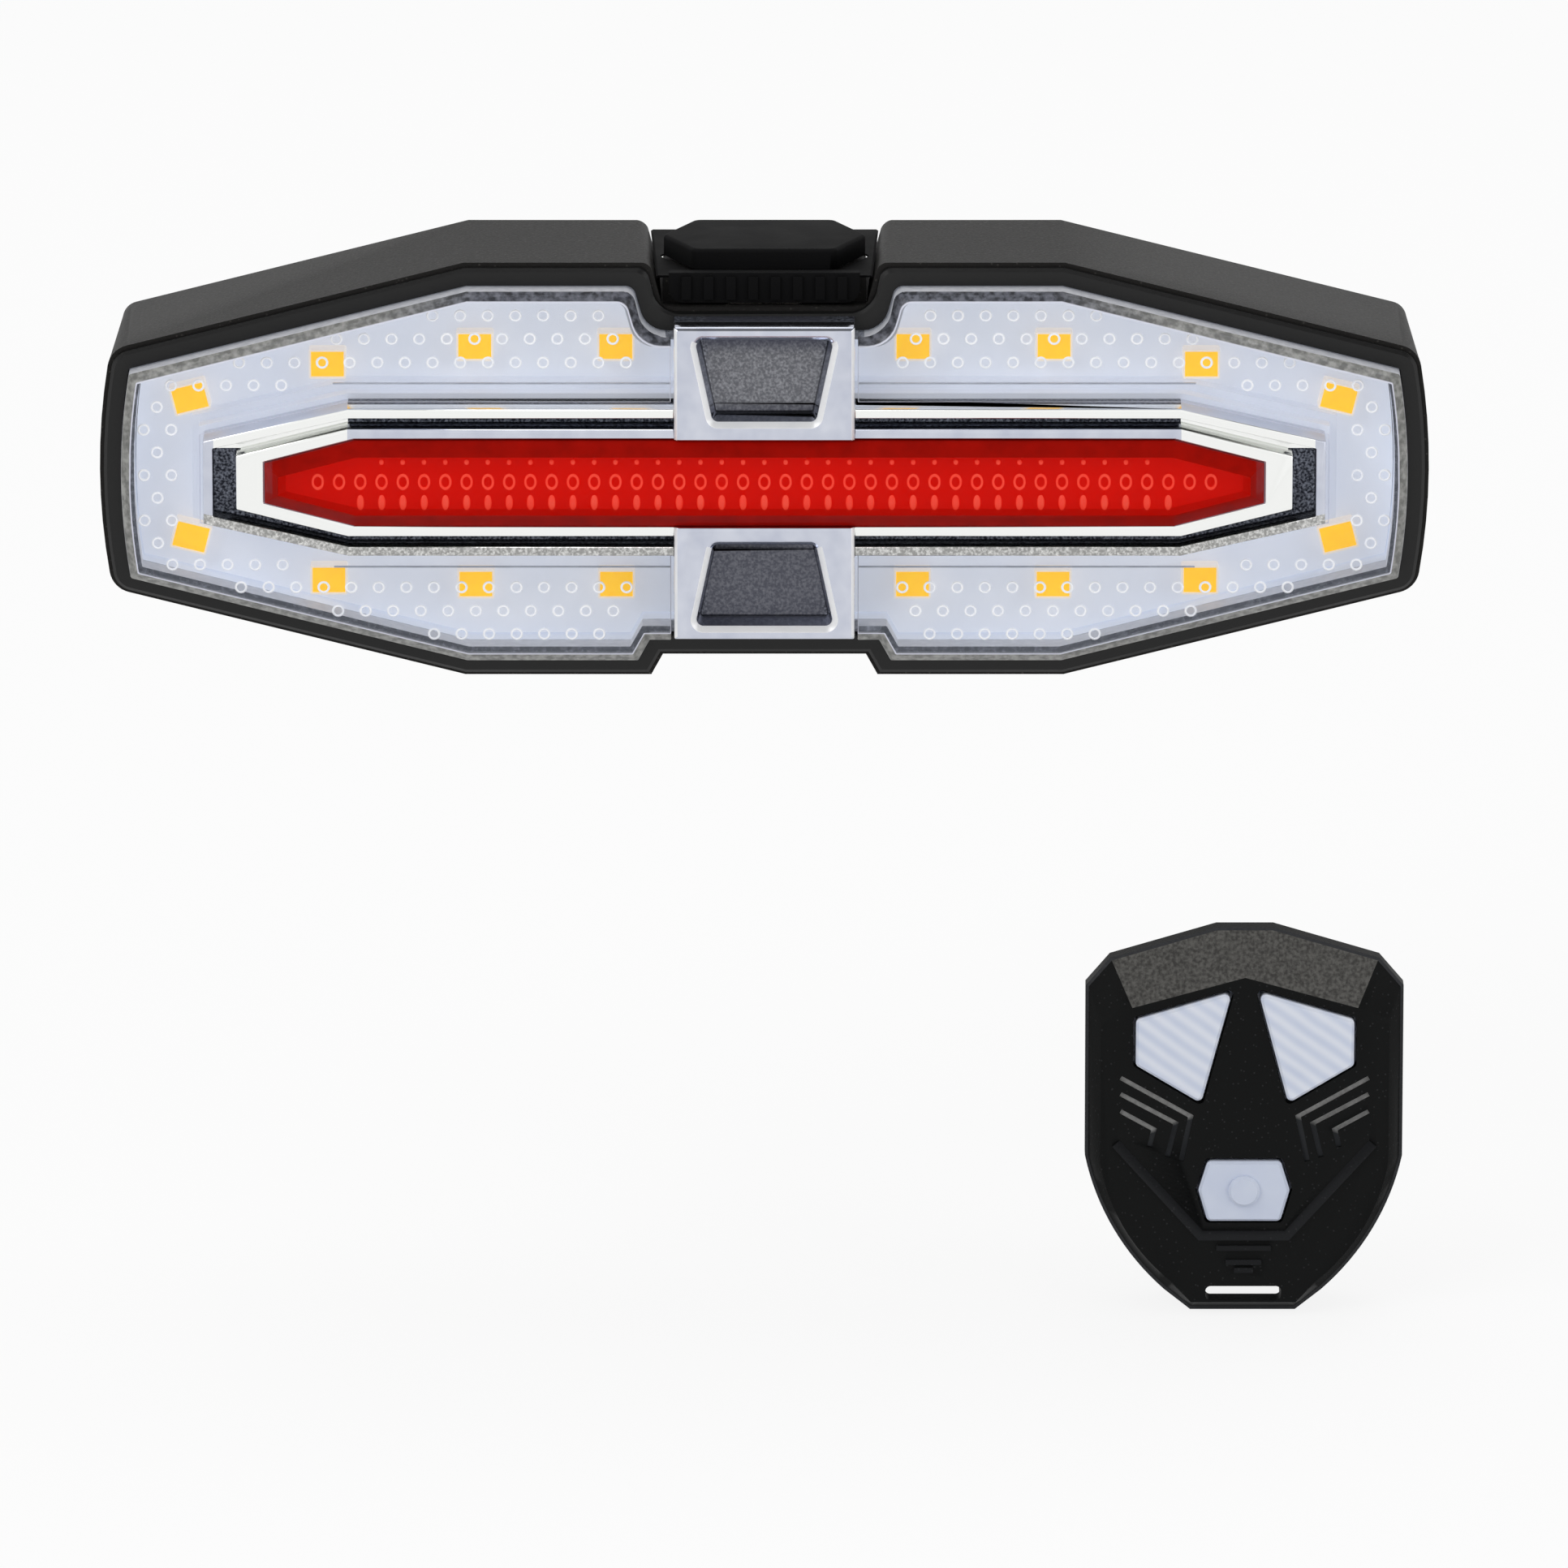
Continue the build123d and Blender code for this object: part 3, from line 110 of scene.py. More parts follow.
floor_paint, tree, place = start_material("floor_paint_white")
path = add_node(tree, "ShaderNodeLightPath")
seen = add_node(
    tree,
    "ShaderNodeMath",
    {0: path.outputs["Is Camera Ray"], 1: path.outputs["Is Glossy Ray"]},
)
seen = add_node(
    tree,
    "ShaderNodeMath",
    {0: seen.outputs[0], 1: path.outputs["Is Transmission Ray"]},
    use_clamp=True,
)
bright_share = 0.86
share = add_node(tree, "ShaderNodeMath", {0: seen.outputs[0], 1: bright_share}, operation="MULTIPLY")
paint = add_node(tree, "ShaderNodeBsdfDiffuse", {"Color": linear("F2F2F2")})
glow = add_node(tree, "ShaderNodeEmission", {"Color": (1, 1, 1, 1), "Strength": 1.0})
mixed = add_node(
    tree,
    "ShaderNodeMixShader",
    {0: share.outputs[0], 1: paint.outputs[0], 2: glow.outputs[0]},
)
add_node(tree, "ShaderNodeOutputMaterial", {"Surface": mixed.outputs[0]})

floor_half = 6.0
shape = bmesh.new()
bmesh.ops.create_grid(shape, x_segments=1, y_segments=1, size=floor_half)
bmesh.ops.translate(shape, verts=shape.verts, vec=(0, 0, cad_low.z))
floor_mesh = bpy.data.meshes.new("floor")
shape.to_mesh(floor_mesh)
shape.free()
floor_mesh.materials.append(floor_paint)
floor = bpy.data.objects.new("floor", floor_mesh)
scene.collection.objects.link(floor)

world = bpy.data.worlds.new("studio")
scene.world = world
world.use_nodes = True
tree = world.node_tree
tree.nodes.clear()
path = add_node(tree, "ShaderNodeLightPath")
seen = add_node(
    tree,
    "ShaderNodeMath",
    {0: path.outputs["Is Camera Ray"], 1: path.outputs["Is Glossy Ray"]},
)
seen = add_node(
    tree,
    "ShaderNodeMath",
    {0: seen.outputs[0], 1: path.outputs["Is Transmission Ray"]},
    use_clamp=True,
)
fill = add_node(tree, "ShaderNodeBackground", {"Color": (1, 1, 1, 1), "Strength": 0.5})
sky = add_node(tree, "ShaderNodeTexCoord")
parts = add_node(tree, "ShaderNodeSeparateXYZ", {"Vector": sky.outputs["Generated"]})
ceiling = add_node(
    tree,
    "ShaderNodeMapRange",
    {"Value": parts.outputs["Z"], "From Min": 0.42, "From Max": 0.62, "To Min": 1.0, "To Max": 0.22},
)
white = add_node(
    tree, "ShaderNodeBackground", {"Color": (1, 1, 1, 1), "Strength": ceiling.outputs["Result"]}
)
mixed = add_node(tree, "ShaderNodeMixShader", {0: seen.outputs[0], 1: fill.outputs[0], 2: white.outputs[0]})
add_node(tree, "ShaderNodeOutputWorld", {"Surface": mixed.outputs[0]})

for name, place, size, power in (
    ("key_softbox", (-0.9, -1.0, 1.0), 0.9, 7.0),
    ("fill_softbox", (1.1, -0.9, 0.5), 0.9, 3.5),
    ("top_softbox", (0.0, 0.35, 1.2), 1.0, 5.0),
):
    lamp_data = bpy.data.lights.new(name, "AREA")
    lamp_data.size = size
    lamp_data.energy = power
    softbox = bpy.data.objects.new(name, lamp_data)
    softbox.location = place
    aim = view_centre - Vector(place)
    softbox.rotation_euler = aim.to_track_quat("-Z", "Y").to_euler()
    scene.collection.objects.link(softbox)

# Housing
# Deep box of black ABS, moulded in a spark eroded tool, so its walls are matt and finely
# grained, with a few paler specks. Six screws from the back hold the bezel in it.
def dress(material, *names):
    """Gives this material to carried-over CAD nodes."""
    for name in names:
        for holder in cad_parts[name].material_slots:
            holder.material = material


grained_abs, tree, place = start_material("abs_spark_textured_black")
# Grain of 0.25 mm, coarser than the real 0.1 mm so that it shows
grain = add_node(tree, "ShaderNodeTexNoise", {"Vector": place, "Scale": 4000.0, "Detail": 2.0})
patches = add_node(tree, "ShaderNodeTexNoise", {"Vector": place, "Scale": 90.0, "Detail": 3.0})
specks = add_node(tree, "ShaderNodeTexVoronoi", {"Vector": place, "Scale": 1600.0})
dots = add_node(
    tree,
    "ShaderNodeMapRange",
    {"Value": specks.outputs["Distance"], "From Min": 0.12, "From Max": 0.2, "To Min": 0.5, "To Max": 0.0},
)
body_colour = add_node(
    tree,
    "ShaderNodeMix",
    {"Factor": patches.outputs["Fac"], 6: linear("1C1B1A"), 7: linear("242322")},
    data_type="RGBA",
)
speckled = add_node(
    tree,
    "ShaderNodeMix",
    {"Factor": dots.outputs["Result"], 6: body_colour.outputs[2], 7: linear("4C4A47")},
    data_type="RGBA",
)
dull = add_node(
    tree,
    "ShaderNodeMapRange",
    {"Value": grain.outputs["Fac"], "To Min": 0.46, "To Max": 0.64},
)
relief = add_node(
    tree,
    "ShaderNodeBump",
    {"Strength": 0.5, "Distance": 0.00008, "Height": grain.outputs["Fac"]},
)
skin = add_node(
    tree,
    "ShaderNodeBsdfPrincipled",
    {
        "Base Color": speckled.outputs[2],
        "Roughness": dull.outputs["Result"],
        "IOR": 1.53,
        "Specular IOR Level": 0.12,
        "Normal": relief.outputs["Normal"],
    },
)
add_node(tree, "ShaderNodeOutputMaterial", {"Surface": skin.outputs[0]})


def copy_of(name):
    """Mesh of a CAD node as a bmesh, with its triangles merged and its flat faces joined."""
    shape = bmesh.new()
    shape.from_mesh(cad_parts[name].data)
    bmesh.ops.remove_doubles(shape, verts=shape.verts, dist=1e-6)
    bmesh.ops.dissolve_limit(
        shape, angle_limit=math.radians(1.0), verts=shape.verts, edges=shape.edges
    )
    return shape


def make_piece(name, shape, body, finish, *materials):
    """Turns a bmesh into a piece with these materials, which rides on this body."""
    mesh = bpy.data.meshes.new(name)
    shape.to_mesh(mesh)
    shape.free()
    for material in materials:
        mesh.materials.append(material)
    mesh.shade_smooth()
    mesh.set_sharp_from_angle(angle=math.radians(32))
    piece = bpy.data.objects.new(name, mesh)
    scene.collection.objects.link(piece)
    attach(piece, body)
    return piece


def bevel(shape, edges, width, segments):
    """Bevels these edges of a bmesh in this many steps."""
    bmesh.ops.bevel(
        shape,
        geom=edges,
        offset=width,
        segments=segments,
        profile=0.5,
        affect="EDGES",
        material=-1,
    )


notch_mouth_round = 0.00075
notch_foot_round = 0.0018


def round_notch(shape, mouth, foot=None):
    """Rounds the corners of the notch in the top edge, at its mouth and at its foot."""
    # Heights between which the corners of the mouth and of the foot lie
    for low, high, width in ((0.0162, 0.0205, mouth), (0.0122, 0.0158, foot)):
        corners = []
        for edge in shape.edges:
            ends = [v.co for v in edge.verts]
            near = all(0.0098 < abs(p.x) < 0.0136 and low < p.z < high for p in ends)
            if near and abs(ends[0].y - ends[1].y) > 0.0002 and edge.calc_face_angle(0) > 0.6:
                corners.append(edge)
        if width:
            bevel(shape, corners, width, segments=6)


shape = copy_of("rear_housing")
round_notch(shape, notch_mouth_round)
case = make_piece("housing_case", shape, "lamp", "housing_abs", grained_abs)
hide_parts("rear_housing")

# Bezel
# Rim and chassis of black ABS from a smoother tool, with a satin sheen. It slides into the
# housing and leaves a fine step round the front. White film lines the board's pocket.
satin_abs, tree, place = start_material("abs_moulded_satin_black")
# Grain of 0.4 mm, coarser than the real one so that it shows
grain = add_node(tree, "ShaderNodeTexNoise", {"Vector": place, "Scale": 2600.0, "Detail": 2.0})
dull = add_node(tree, "ShaderNodeMapRange", {"Value": grain.outputs["Fac"], "To Min": 0.34, "To Max": 0.46})
relief = add_node(
    tree,
    "ShaderNodeBump",
    {"Strength": 0.3, "Distance": 0.00004, "Height": grain.outputs["Fac"]},
)
skin = add_node(
    tree,
    "ShaderNodeBsdfPrincipled",
    {
        "Base Color": linear("0A0A0A"),
        "Roughness": dull.outputs["Result"],
        "IOR": 1.53,
        "Specular IOR Level": 0.3,
        "Normal": relief.outputs["Normal"],
    },
)
add_node(tree, "ShaderNodeOutputMaterial", {"Surface": skin.outputs[0]})


def clouded(name, pattern, darker, paler, surface):
    """A material whose colour drifts between two tones in soft clouds, with this surface."""
    material, tree, place = start_material(name)
    clouds = add_node(tree, "ShaderNodeTexNoise", {"Vector": place, **pattern})
    tint = add_node(
        tree,
        "ShaderNodeMix",
        {"Factor": clouds.outputs["Fac"], 6: linear(darker), 7: linear(paler)},
        data_type="RGBA",
    )
    skin = add_node(tree, "ShaderNodeBsdfPrincipled", {"Base Color": tint.outputs[2], **surface})
    add_node(tree, "ShaderNodeOutputMaterial", {"Surface": skin.outputs[0]})
    return material


# The film is smooth, with clouds of 4 mm, and pale blue. Its faint glow is painted light, which stands in
# for the light that the lens scatters into the pocket.
white_film = clouded(
    "polyester_film_white",
    {"Scale": 260.0, "Detail": 3.0},
    "CBD3E2",
    "E6EBF5",
    {"Roughness": 0.5, "IOR": 1.5, "Emission Color": linear("E0E5EE"), "Emission Strength": 0.2},
)

# The pocket's walls are those that stand between these two depths
pocket_floor = 0.0366
pocket_brim = 0.0408
shape = copy_of("front_bezel")
round_notch(shape, notch_mouth_round, notch_foot_round)
for face in shape.faces:
    depths = [-v.co.y for v in face.verts]
    if min(depths) > pocket_floor and max(depths) < pocket_brim and abs(face.normal.y) < 0.3:
        face.material_index = 1
bezel = make_piece("bezel_frame", shape, "lamp", "bezel_abs", satin_abs, white_film)
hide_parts("front_bezel")

# Rubber parts
# Push button base, button, charging cover, strap, saddle pad and door seal are pressed
# black silicone rubber: dull, with a faint bloom that is uneven over some millimetres.
silicone, tree, place = start_material("silicone_rubber_black")
bloom = add_node(tree, "ShaderNodeTexNoise", {"Vector": place, "Scale": 260.0, "Detail": 4.0})
grain = add_node(tree, "ShaderNodeTexNoise", {"Vector": place, "Scale": 3400.0, "Detail": 1.0})
tint = add_node(
    tree,
    "ShaderNodeMix",
    {"Factor": bloom.outputs["Fac"], 6: linear("060607"), 7: linear("101011")},
    data_type="RGBA",
)
dull = add_node(tree, "ShaderNodeMapRange", {"Value": bloom.outputs["Fac"], "To Min": 0.6, "To Max": 0.8})
relief = add_node(
    tree,
    "ShaderNodeBump",
    {"Strength": 0.3, "Distance": 0.00003, "Height": grain.outputs["Fac"]},
)
skin = add_node(
    tree,
    "ShaderNodeBsdfPrincipled",
    {
        "Base Color": tint.outputs[2],
        "Roughness": dull.outputs["Result"],
        "IOR": 1.42,
        "Specular IOR Level": 0.12,
        "Normal": relief.outputs["Normal"],
    },
)
add_node(tree, "ShaderNodeOutputMaterial", {"Surface": skin.outputs[0]})
dress(silicone, "charging_cover")

# The base lies 0.6 mm lower than in the CAD model, so the tips of the button stand out
plate_drop = 0.0006
edge_drop = 0.00052
foot_drop = 0.00025
tip_growth = 0.0006
shape = copy_of("button_base")
for low, high, drop in ((0.0187, 0.0189, plate_drop), (0.0185, 0.01865, edge_drop)):
    level = [v for v in shape.verts if low < v.co.z < high]
    bmesh.ops.translate(shape, verts=level, vec=(0, 0, -drop))
for side in (1, -1):
    tip = [v for v in shape.verts if 0.0091 < side * v.co.x < 0.0093]
    bmesh.ops.translate(shape, verts=tip, vec=(side * tip_growth, 0, 0))
base = make_piece("button_base_skin", shape, "lamp", "silicone_black", silicone)
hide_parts("button_base")

shape = copy_of("power_button")
foot = [v for v in shape.verts if 0.0185 < v.co.z < 0.0187 and v.co.y < -0.024]
bmesh.ops.translate(shape, verts=foot, vec=(0, 0, -foot_drop))
for side in (1, -1):
    tip = [v for v in shape.verts if side * v.co.x > 0.0083]
    bmesh.ops.translate(shape, verts=tip, vec=(side * tip_growth, 0, 0))
button = make_piece("power_button_skin", shape, "power_button", "silicone_black", silicone)
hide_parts("power_button")
dress(silicone, "post_strap", "saddle_pad", "door_seal")

# Lens gasket
# Flat ring of closed cell foam under the lenses, with darker pores, which shows through the edge of the
# lens. Its pale grey is partly painted light, which brightens it in the dim recess behind the lens edge.
sealing_foam, tree, place = start_material("foam_gasket_speckled")
# Spots of about 0.4 mm
spots = add_node(tree, "ShaderNodeTexNoise", {"Vector": place, "Scale": 2400.0, "Detail": 2.0})
spread = add_node(
    tree,
    "ShaderNodeMapRange",
    {"Value": spots.outputs["Fac"], "From Min": 0.45, "From Max": 0.7},
)
tint = add_node(
    tree,
    "ShaderNodeMix",
    {"Factor": spread.outputs["Result"], 6: linear("A4A8B2"), 7: linear("D6DAE4")},
    data_type="RGBA",
)
skin = add_node(
    tree, "ShaderNodeBsdfPrincipled", {"Base Color": tint.outputs[2], "Roughness": 0.7, "IOR": 1.45}
)
add_node(tree, "ShaderNodeOutputMaterial", {"Surface": skin.outputs[0]})
shape = copy_of("lens_gasket")
round_notch(shape, notch_mouth_round, notch_foot_round)
seal = make_piece("gasket_ring", shape, "lamp", "silicone_black", sealing_foam)
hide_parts("lens_gasket")

# Lamp board
# Fibreglass board with a white solder mask, which looks pale blue behind the clear lens.
# The mask is slightly uneven and glossy. Its faint glow is painted light, which stands in for the light
# that the lens scatters.
solder_mask = clouded(
    "solder_mask_white",
    {"Scale": 220.0, "Detail": 3.0},
    "DEE4F0",
    "EEF1F8",
    {"Roughness": 0.35, "IOR": 1.5, "Emission Color": linear("E0E5EE"), "Emission Strength": 0.2},
)
dress(solder_mask, "lamp_board")

# Amber light sources
# Sixteen surface mounted parts of 3.5 by 2.8 mm. Each is a white moulded case with a shallow cup, filled
# with amber silicone over the chip. Case and amber are given a faint glow, which is painted light.
# The case's faint glow is painted light, which lifts the shade on its sides
case_plastic = clouded(
    "led_case_polyamide_white",
    {"Scale": 700.0},
    "E9E6DF",
    "F6F4EE",
    {"Roughness": 0.45, "IOR": 1.53, "Emission Color": linear("FFE2C0"), "Emission Strength": 0.25},
)

# The amber's faint glow is painted light
amber_silicone = clouded(
    "amber_phosphor_silicone",
    {"Scale": 900.0},
    "FFB400",
    "FFCC08",
    {
        "Roughness": 0.3,
        "IOR": 1.41,
        "Specular IOR Level": 0.05,
        "Emission Color": linear("FFC400"),
        "Emission Strength": 0.5,
    },
)

board_front = 0.0384
led_length = 0.0035
led_height = 0.0028
led_thickness = 0.0019
led_places = []
# Millimetres out, above and below the middle, and degrees of turn
for x, top, foot, turn in (
    (14.0, 11.6, 11.5, 0),
    (27.3, 11.6, 11.5, 0),
    (41.2, 9.9, 11.1, 0),
    (54.2, 6.6, 6.9, 14),
):
    for side in (1, -1):
        led_places.append((side * x / 1000, top / 1000, side * turn))
        led_places.append((side * x / 1000, -foot / 1000, -side * turn))

one_led = bmesh.new()
bmesh.ops.create_cube(one_led, size=1.0)
bmesh.ops.scale(one_led, vec=(led_length, led_thickness, led_height), verts=one_led.verts)
upright = [e for e in one_led.edges if abs(e.verts[0].co.y - e.verts[1].co.y) > 0.001]
bevel(one_led, upright, width=0.00018, segments=2)
one_led.faces.ensure_lookup_table()
front = min(one_led.faces, key=lambda f: f.calc_center_median().y)
bmesh.ops.inset_individual(one_led, faces=[front], thickness=0.00016)
bmesh.ops.inset_individual(one_led, faces=[front], thickness=0.00005, depth=-0.00008)
front.material_index = 1
led_mesh = bpy.data.meshes.new("one_led")
one_led.to_mesh(led_mesh)
one_led.free()


def add_copy(shape, mesh, place):
    """Adds a copy of a small mesh to a bmesh, moved by this matrix."""
    before = len(shape.verts)
    shape.from_mesh(mesh)
    shape.verts.ensure_lookup_table()
    bmesh.ops.transform(shape, matrix=place, verts=shape.verts[before:])


shape = bmesh.new()
for x, z, turn in led_places:
    spot = Matrix.Translation((x, -board_front - led_thickness / 2, z))
    add_copy(shape, led_mesh, spot @ Matrix.Rotation(math.radians(turn), 4, "Y"))
amber = make_piece("amber_led_parts", shape, "lamp", "amber_led", case_plastic, amber_silicone)
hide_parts("amber_lights")

# Carrier
# White ABS tray on the board, under the bright trim. It shades the red light sources from
# the amber ones.
# The tray's faint glow is painted light, which lifts the shade under the trim
white_abs = clouded(
    "abs_moulded_white",
    {"Scale": 320.0},
    "CCD2E0",
    "DADFEA",
    {"Roughness": 0.4, "IOR": 1.53, "Emission Color": linear("DCE0EA"), "Emission Strength": 0.22},
)
dress(white_abs, "trim_carrier")

# Bright trim
# One moulding of ABS, plated with chrome. Its rings and block frames are polished, and the floors of the
# channel and of the two windows keep a fine grain. Their dark blue tone is a painted reflection of dark
# surroundings, deepest in the channel.

# The rings are straight for 39.2 mm to either side, then fall by 0.228 mm in each mm
ring_straight = 0.0392
ring_fall = 0.228
block_half = 0.00845
chrome, tree, place = start_material("abs_chrome_plated")
parts = add_node(tree, "ShaderNodeSeparateXYZ", {"Vector": place})
far = add_node(tree, "ShaderNodeMath", {0: parts.outputs["X"]}, operation="ABSOLUTE")
# Floors and lower walls, less than 45 mm from the seat post's axis
sunk = add_node(
    tree,
    "ShaderNodeMapRange",
    {"Value": parts.outputs["Y"], "From Min": -0.0451, "From Max": -0.0445},
)
# The upper slopes of the channel are polished like the rings
slope = add_node(tree, "ShaderNodeMath", {0: far.outputs[0], 1: ring_straight}, operation="LESS_THAN")
below = add_node(tree, "ShaderNodeMath", {0: parts.outputs["Z"], 1: 0.0027}, operation="LESS_THAN")
rough_part = add_node(
    tree, "ShaderNodeMath", {0: slope.outputs[0], 1: below.outputs[0]}, operation="MAXIMUM"
)
grained = add_node(
    tree, "ShaderNodeMath", {0: sunk.outputs["Result"], 1: rough_part.outputs[0]}, operation="MULTIPLY"
)
grit = add_node(tree, "ShaderNodeTexNoise", {"Vector": place, "Scale": 4200.0, "Detail": 3.0})
swirl = add_node(tree, "ShaderNodeTexNoise", {"Vector": place, "Scale": 420.0, "Detail": 2.0})
# Grain of 0.2 mm under a painted dark reflection, which is darker in the channel than in the windows
window = add_node(
    tree,
    "ShaderNodeMapRange",
    {"Value": far.outputs[0], "From Min": 0.0062, "From Max": 0.0052},
)
grain_in_pale_reflection = add_node(
    tree,
    "ShaderNodeMix",
    {"Factor": window.outputs["Result"], 6: linear("8A8F9C"), 7: linear("929398")},
    data_type="RGBA",
)
grain_in_dark_reflection = add_node(
    tree,
    "ShaderNodeMix",
    {"Factor": window.outputs["Result"], 6: linear("25272F"), 7: linear("66676C")},
    data_type="RGBA",
)
mottle = add_node(
    tree,
    "ShaderNodeMapRange",
    {"Value": grit.outputs["Fac"], "From Min": 0.4, "From Max": 0.72},
)
grain_and_reflection = add_node(
    tree,
    "ShaderNodeMix",
    {"Factor": mottle.outputs["Result"], 6: grain_in_dark_reflection.outputs[2], 7: grain_in_pale_reflection.outputs[2]},
    data_type="RGBA",
)
# The top and the foot of the upper window, and all of the lower one, reflect something darker
high = add_node(
    tree,
    "ShaderNodeMapRange",
    {"Value": parts.outputs["Z"], "From Min": 0.0118, "From Max": 0.0132, "To Max": 0.7},
)
low_down = add_node(
    tree,
    "ShaderNodeMapRange",
    {"Value": parts.outputs["Z"], "From Min": 0.0074, "From Max": 0.0064, "To Max": 0.45},
)
shade = add_node(
    tree, "ShaderNodeMath", {0: high.outputs["Result"], 1: low_down.outputs["Result"]}, operation="MAXIMUM"
)
shade = add_node(
    tree, "ShaderNodeMath", {0: shade.outputs[0], 1: window.outputs["Result"]}, operation="MULTIPLY"
)
grain_and_reflection = add_node(
    tree,
    "ShaderNodeMix",
    {"Factor": shade.outputs[0], 6: grain_and_reflection.outputs[2], 7: linear("343648")},
    data_type="RGBA",
)
# Block frames, ring ends and the top of the inner ring have a lilac tinge
block = add_node(tree, "ShaderNodeMath", {0: far.outputs[0], 1: block_half}, operation="LESS_THAN")
ends = add_node(tree, "ShaderNodeMath", {0: far.outputs[0], 1: 0.0518}, operation="GREATER_THAN")
band = add_node(
    tree, "ShaderNodeMath", {0: parts.outputs["Z"], 1: 0.0047, 2: 0.0006}, operation="COMPARE"
)
band = add_node(tree, "ShaderNodeMath", {0: band.outputs[0], 1: slope.outputs[0]}, operation="MULTIPLY")
band = add_node(tree, "ShaderNodeMath", {0: band.outputs[0], 1: ends.outputs[0]}, operation="MAXIMUM")
tinged = add_node(tree, "ShaderNodeMath", {0: band.outputs[0], 1: block.outputs[0]}, operation="MAXIMUM")
lilac = add_node(
    tree,
    "ShaderNodeMix",
    {"Factor": swirl.outputs["Fac"], 6: linear("B4B9CA"), 7: linear("DADDE6")},
    data_type="RGBA",
)
bright = add_node(
    tree,
    "ShaderNodeMix",
    {"Factor": tinged.outputs[0], 6: linear("F4F5F3"), 7: lilac.outputs[2]},
    data_type="RGBA",
)
# The bottom of the outer ring is greyer and finely mottled
past = add_node(tree, "ShaderNodeMath", {0: far.outputs[0], 1: ring_straight}, operation="SUBTRACT")
past = add_node(tree, "ShaderNodeMath", {0: past.outputs[0], 1: 0.0}, operation="MAXIMUM")
drop = add_node(
    tree,
    "ShaderNodeMath",
    {0: past.outputs[0], 1: -ring_fall, 2: parts.outputs["Z"]},
    operation="MULTIPLY_ADD",
)
low = add_node(tree, "ShaderNodeMath", {0: drop.outputs[0], 1: -0.0061}, operation="LESS_THAN")
wide = add_node(tree, "ShaderNodeMath", {0: far.outputs[0], 1: block_half}, operation="GREATER_THAN")
under = add_node(tree, "ShaderNodeMath", {0: low.outputs[0], 1: wide.outputs[0]}, operation="MULTIPLY")
silver = add_node(
    tree,
    "ShaderNodeMix",
    {"Factor": mottle.outputs["Result"], 6: linear("9A9A98"), 7: linear("DEDEDC")},
    data_type="RGBA",
)
bright = add_node(
    tree,
    "ShaderNodeMix",
    {"Factor": under.outputs[0], 6: bright.outputs[2], 7: silver.outputs[2]},
    data_type="RGBA",
)
plate_tint = add_node(
    tree,
    "ShaderNodeMix",
    {"Factor": grained.outputs[0], 6: bright.outputs[2], 7: grain_and_reflection.outputs[2]},
    data_type="RGBA",
)
dull = add_node(
    tree,
    "ShaderNodeMapRange",
    {"Value": grained.outputs[0], "To Min": 0.14, "To Max": 0.5},
)
wave = add_node(
    tree,
    "ShaderNodeMix",
    {"Factor": grained.outputs[0], 2: swirl.outputs["Fac"], 3: grit.outputs["Fac"]},
    data_type="FLOAT",
)
relief = add_node(
    tree,
    "ShaderNodeBump",
    {"Strength": 0.35, "Distance": 0.00006, "Height": wave.outputs[0]},
)
skin = add_node(
    tree,
    "ShaderNodeBsdfPrincipled",
    {
        "Base Color": plate_tint.outputs[2],
        "Metallic": 1.0,
        "Roughness": dull.outputs["Result"],
        "Normal": relief.outputs["Normal"],
    },
)
add_node(tree, "ShaderNodeOutputMaterial", {"Surface": skin.outputs[0]})


# The outer walls are satin, painted pale with a faint glow that stands in for a bright reflection, and the
# edges of the windows are painted nearly white, as the brightest highlight
satin_chrome_painted_glow = clouded(
    "abs_chrome_satin",
    {"Scale": 500.0, "Detail": 2.0},
    "B2B8C8",
    "C6CBD8",
    {"Metallic": 0.4, "Roughness": 0.5, "Emission Color": linear("D0D6E6"), "Emission Strength": 0.15},
)
painted_highlight_edge = clouded(
    "abs_chrome_bright_edge",
    {"Scale": 300.0},
    "E2E4E8",
    "FAFAFA",
    {"Metallic": 0.2, "Roughness": 0.3},
)


def ease_edges(shape, width, least=30.0, segments=2):
    """Rounds every edge of a bmesh that is sharper than this angle in degrees."""
    sharp = [e for e in shape.edges if e.is_manifold and e.calc_face_angle(0) > math.radians(least)]
    bmesh.ops.bevel(
        shape,
        geom=sharp,
        offset=width,
        segments=segments,
        profile=0.5,
        affect="EDGES",
        material=-1,
        clamp_overlap=True,
    )


trim_face = -0.0472
trim_foot = -0.043
shape = copy_of("bright_trim")
window_edges = []
bmesh.ops.recalc_face_normals(shape, faces=shape.faces)
for edge in shape.edges:
    ends = [v.co for v in edge.verts]
    if all(p.y < trim_face and abs(p.x) < 0.0076 and abs(p.z) > 0.0044 for p in ends):
        if edge.calc_face_angle(0) > math.radians(30) and max(abs(p.z) for p in ends) < 0.0144:
            window_edges.append(edge)
bevel(shape, window_edges, width=0.0005, segments=1)
block_edges = []
for edge in shape.edges:
    if all(v.co.y < trim_face and abs(v.co.x) > 0.0084 for v in edge.verts):
        block_edges.append(edge)
bevel(shape, block_edges, width=0.00022, segments=1)
# Window and block bevels take the painted highlight, and the outer walls the pale satin with its painted
# glow
for face in shape.faces:
    middle = face.calc_center_median()
    in_window = abs(middle.x) < 0.0078 and 0.0052 < abs(middle.z) < 0.0146
    if in_window and middle.y < -0.047 and -0.95 < face.normal.y < -0.3 and face.normal.z > -0.3:
        face.material_index = 2
    if abs(middle.x) > 0.0082 and middle.y < -0.047 and 0.4 < abs(face.normal.x) < 0.9:
        face.material_index = 2
    if max(v.co.y for v in face.verts) > trim_foot and face.normal.y > -0.5 and abs(middle.x) > 0.0087:
        face.material_index = 1
ease_edges(shape, 0.00012)
trim = make_piece("chromed_trim", shape, "lamp", "chrome_abs", chrome, satin_chrome_painted_glow, painted_highlight_edge)
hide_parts("bright_trim")

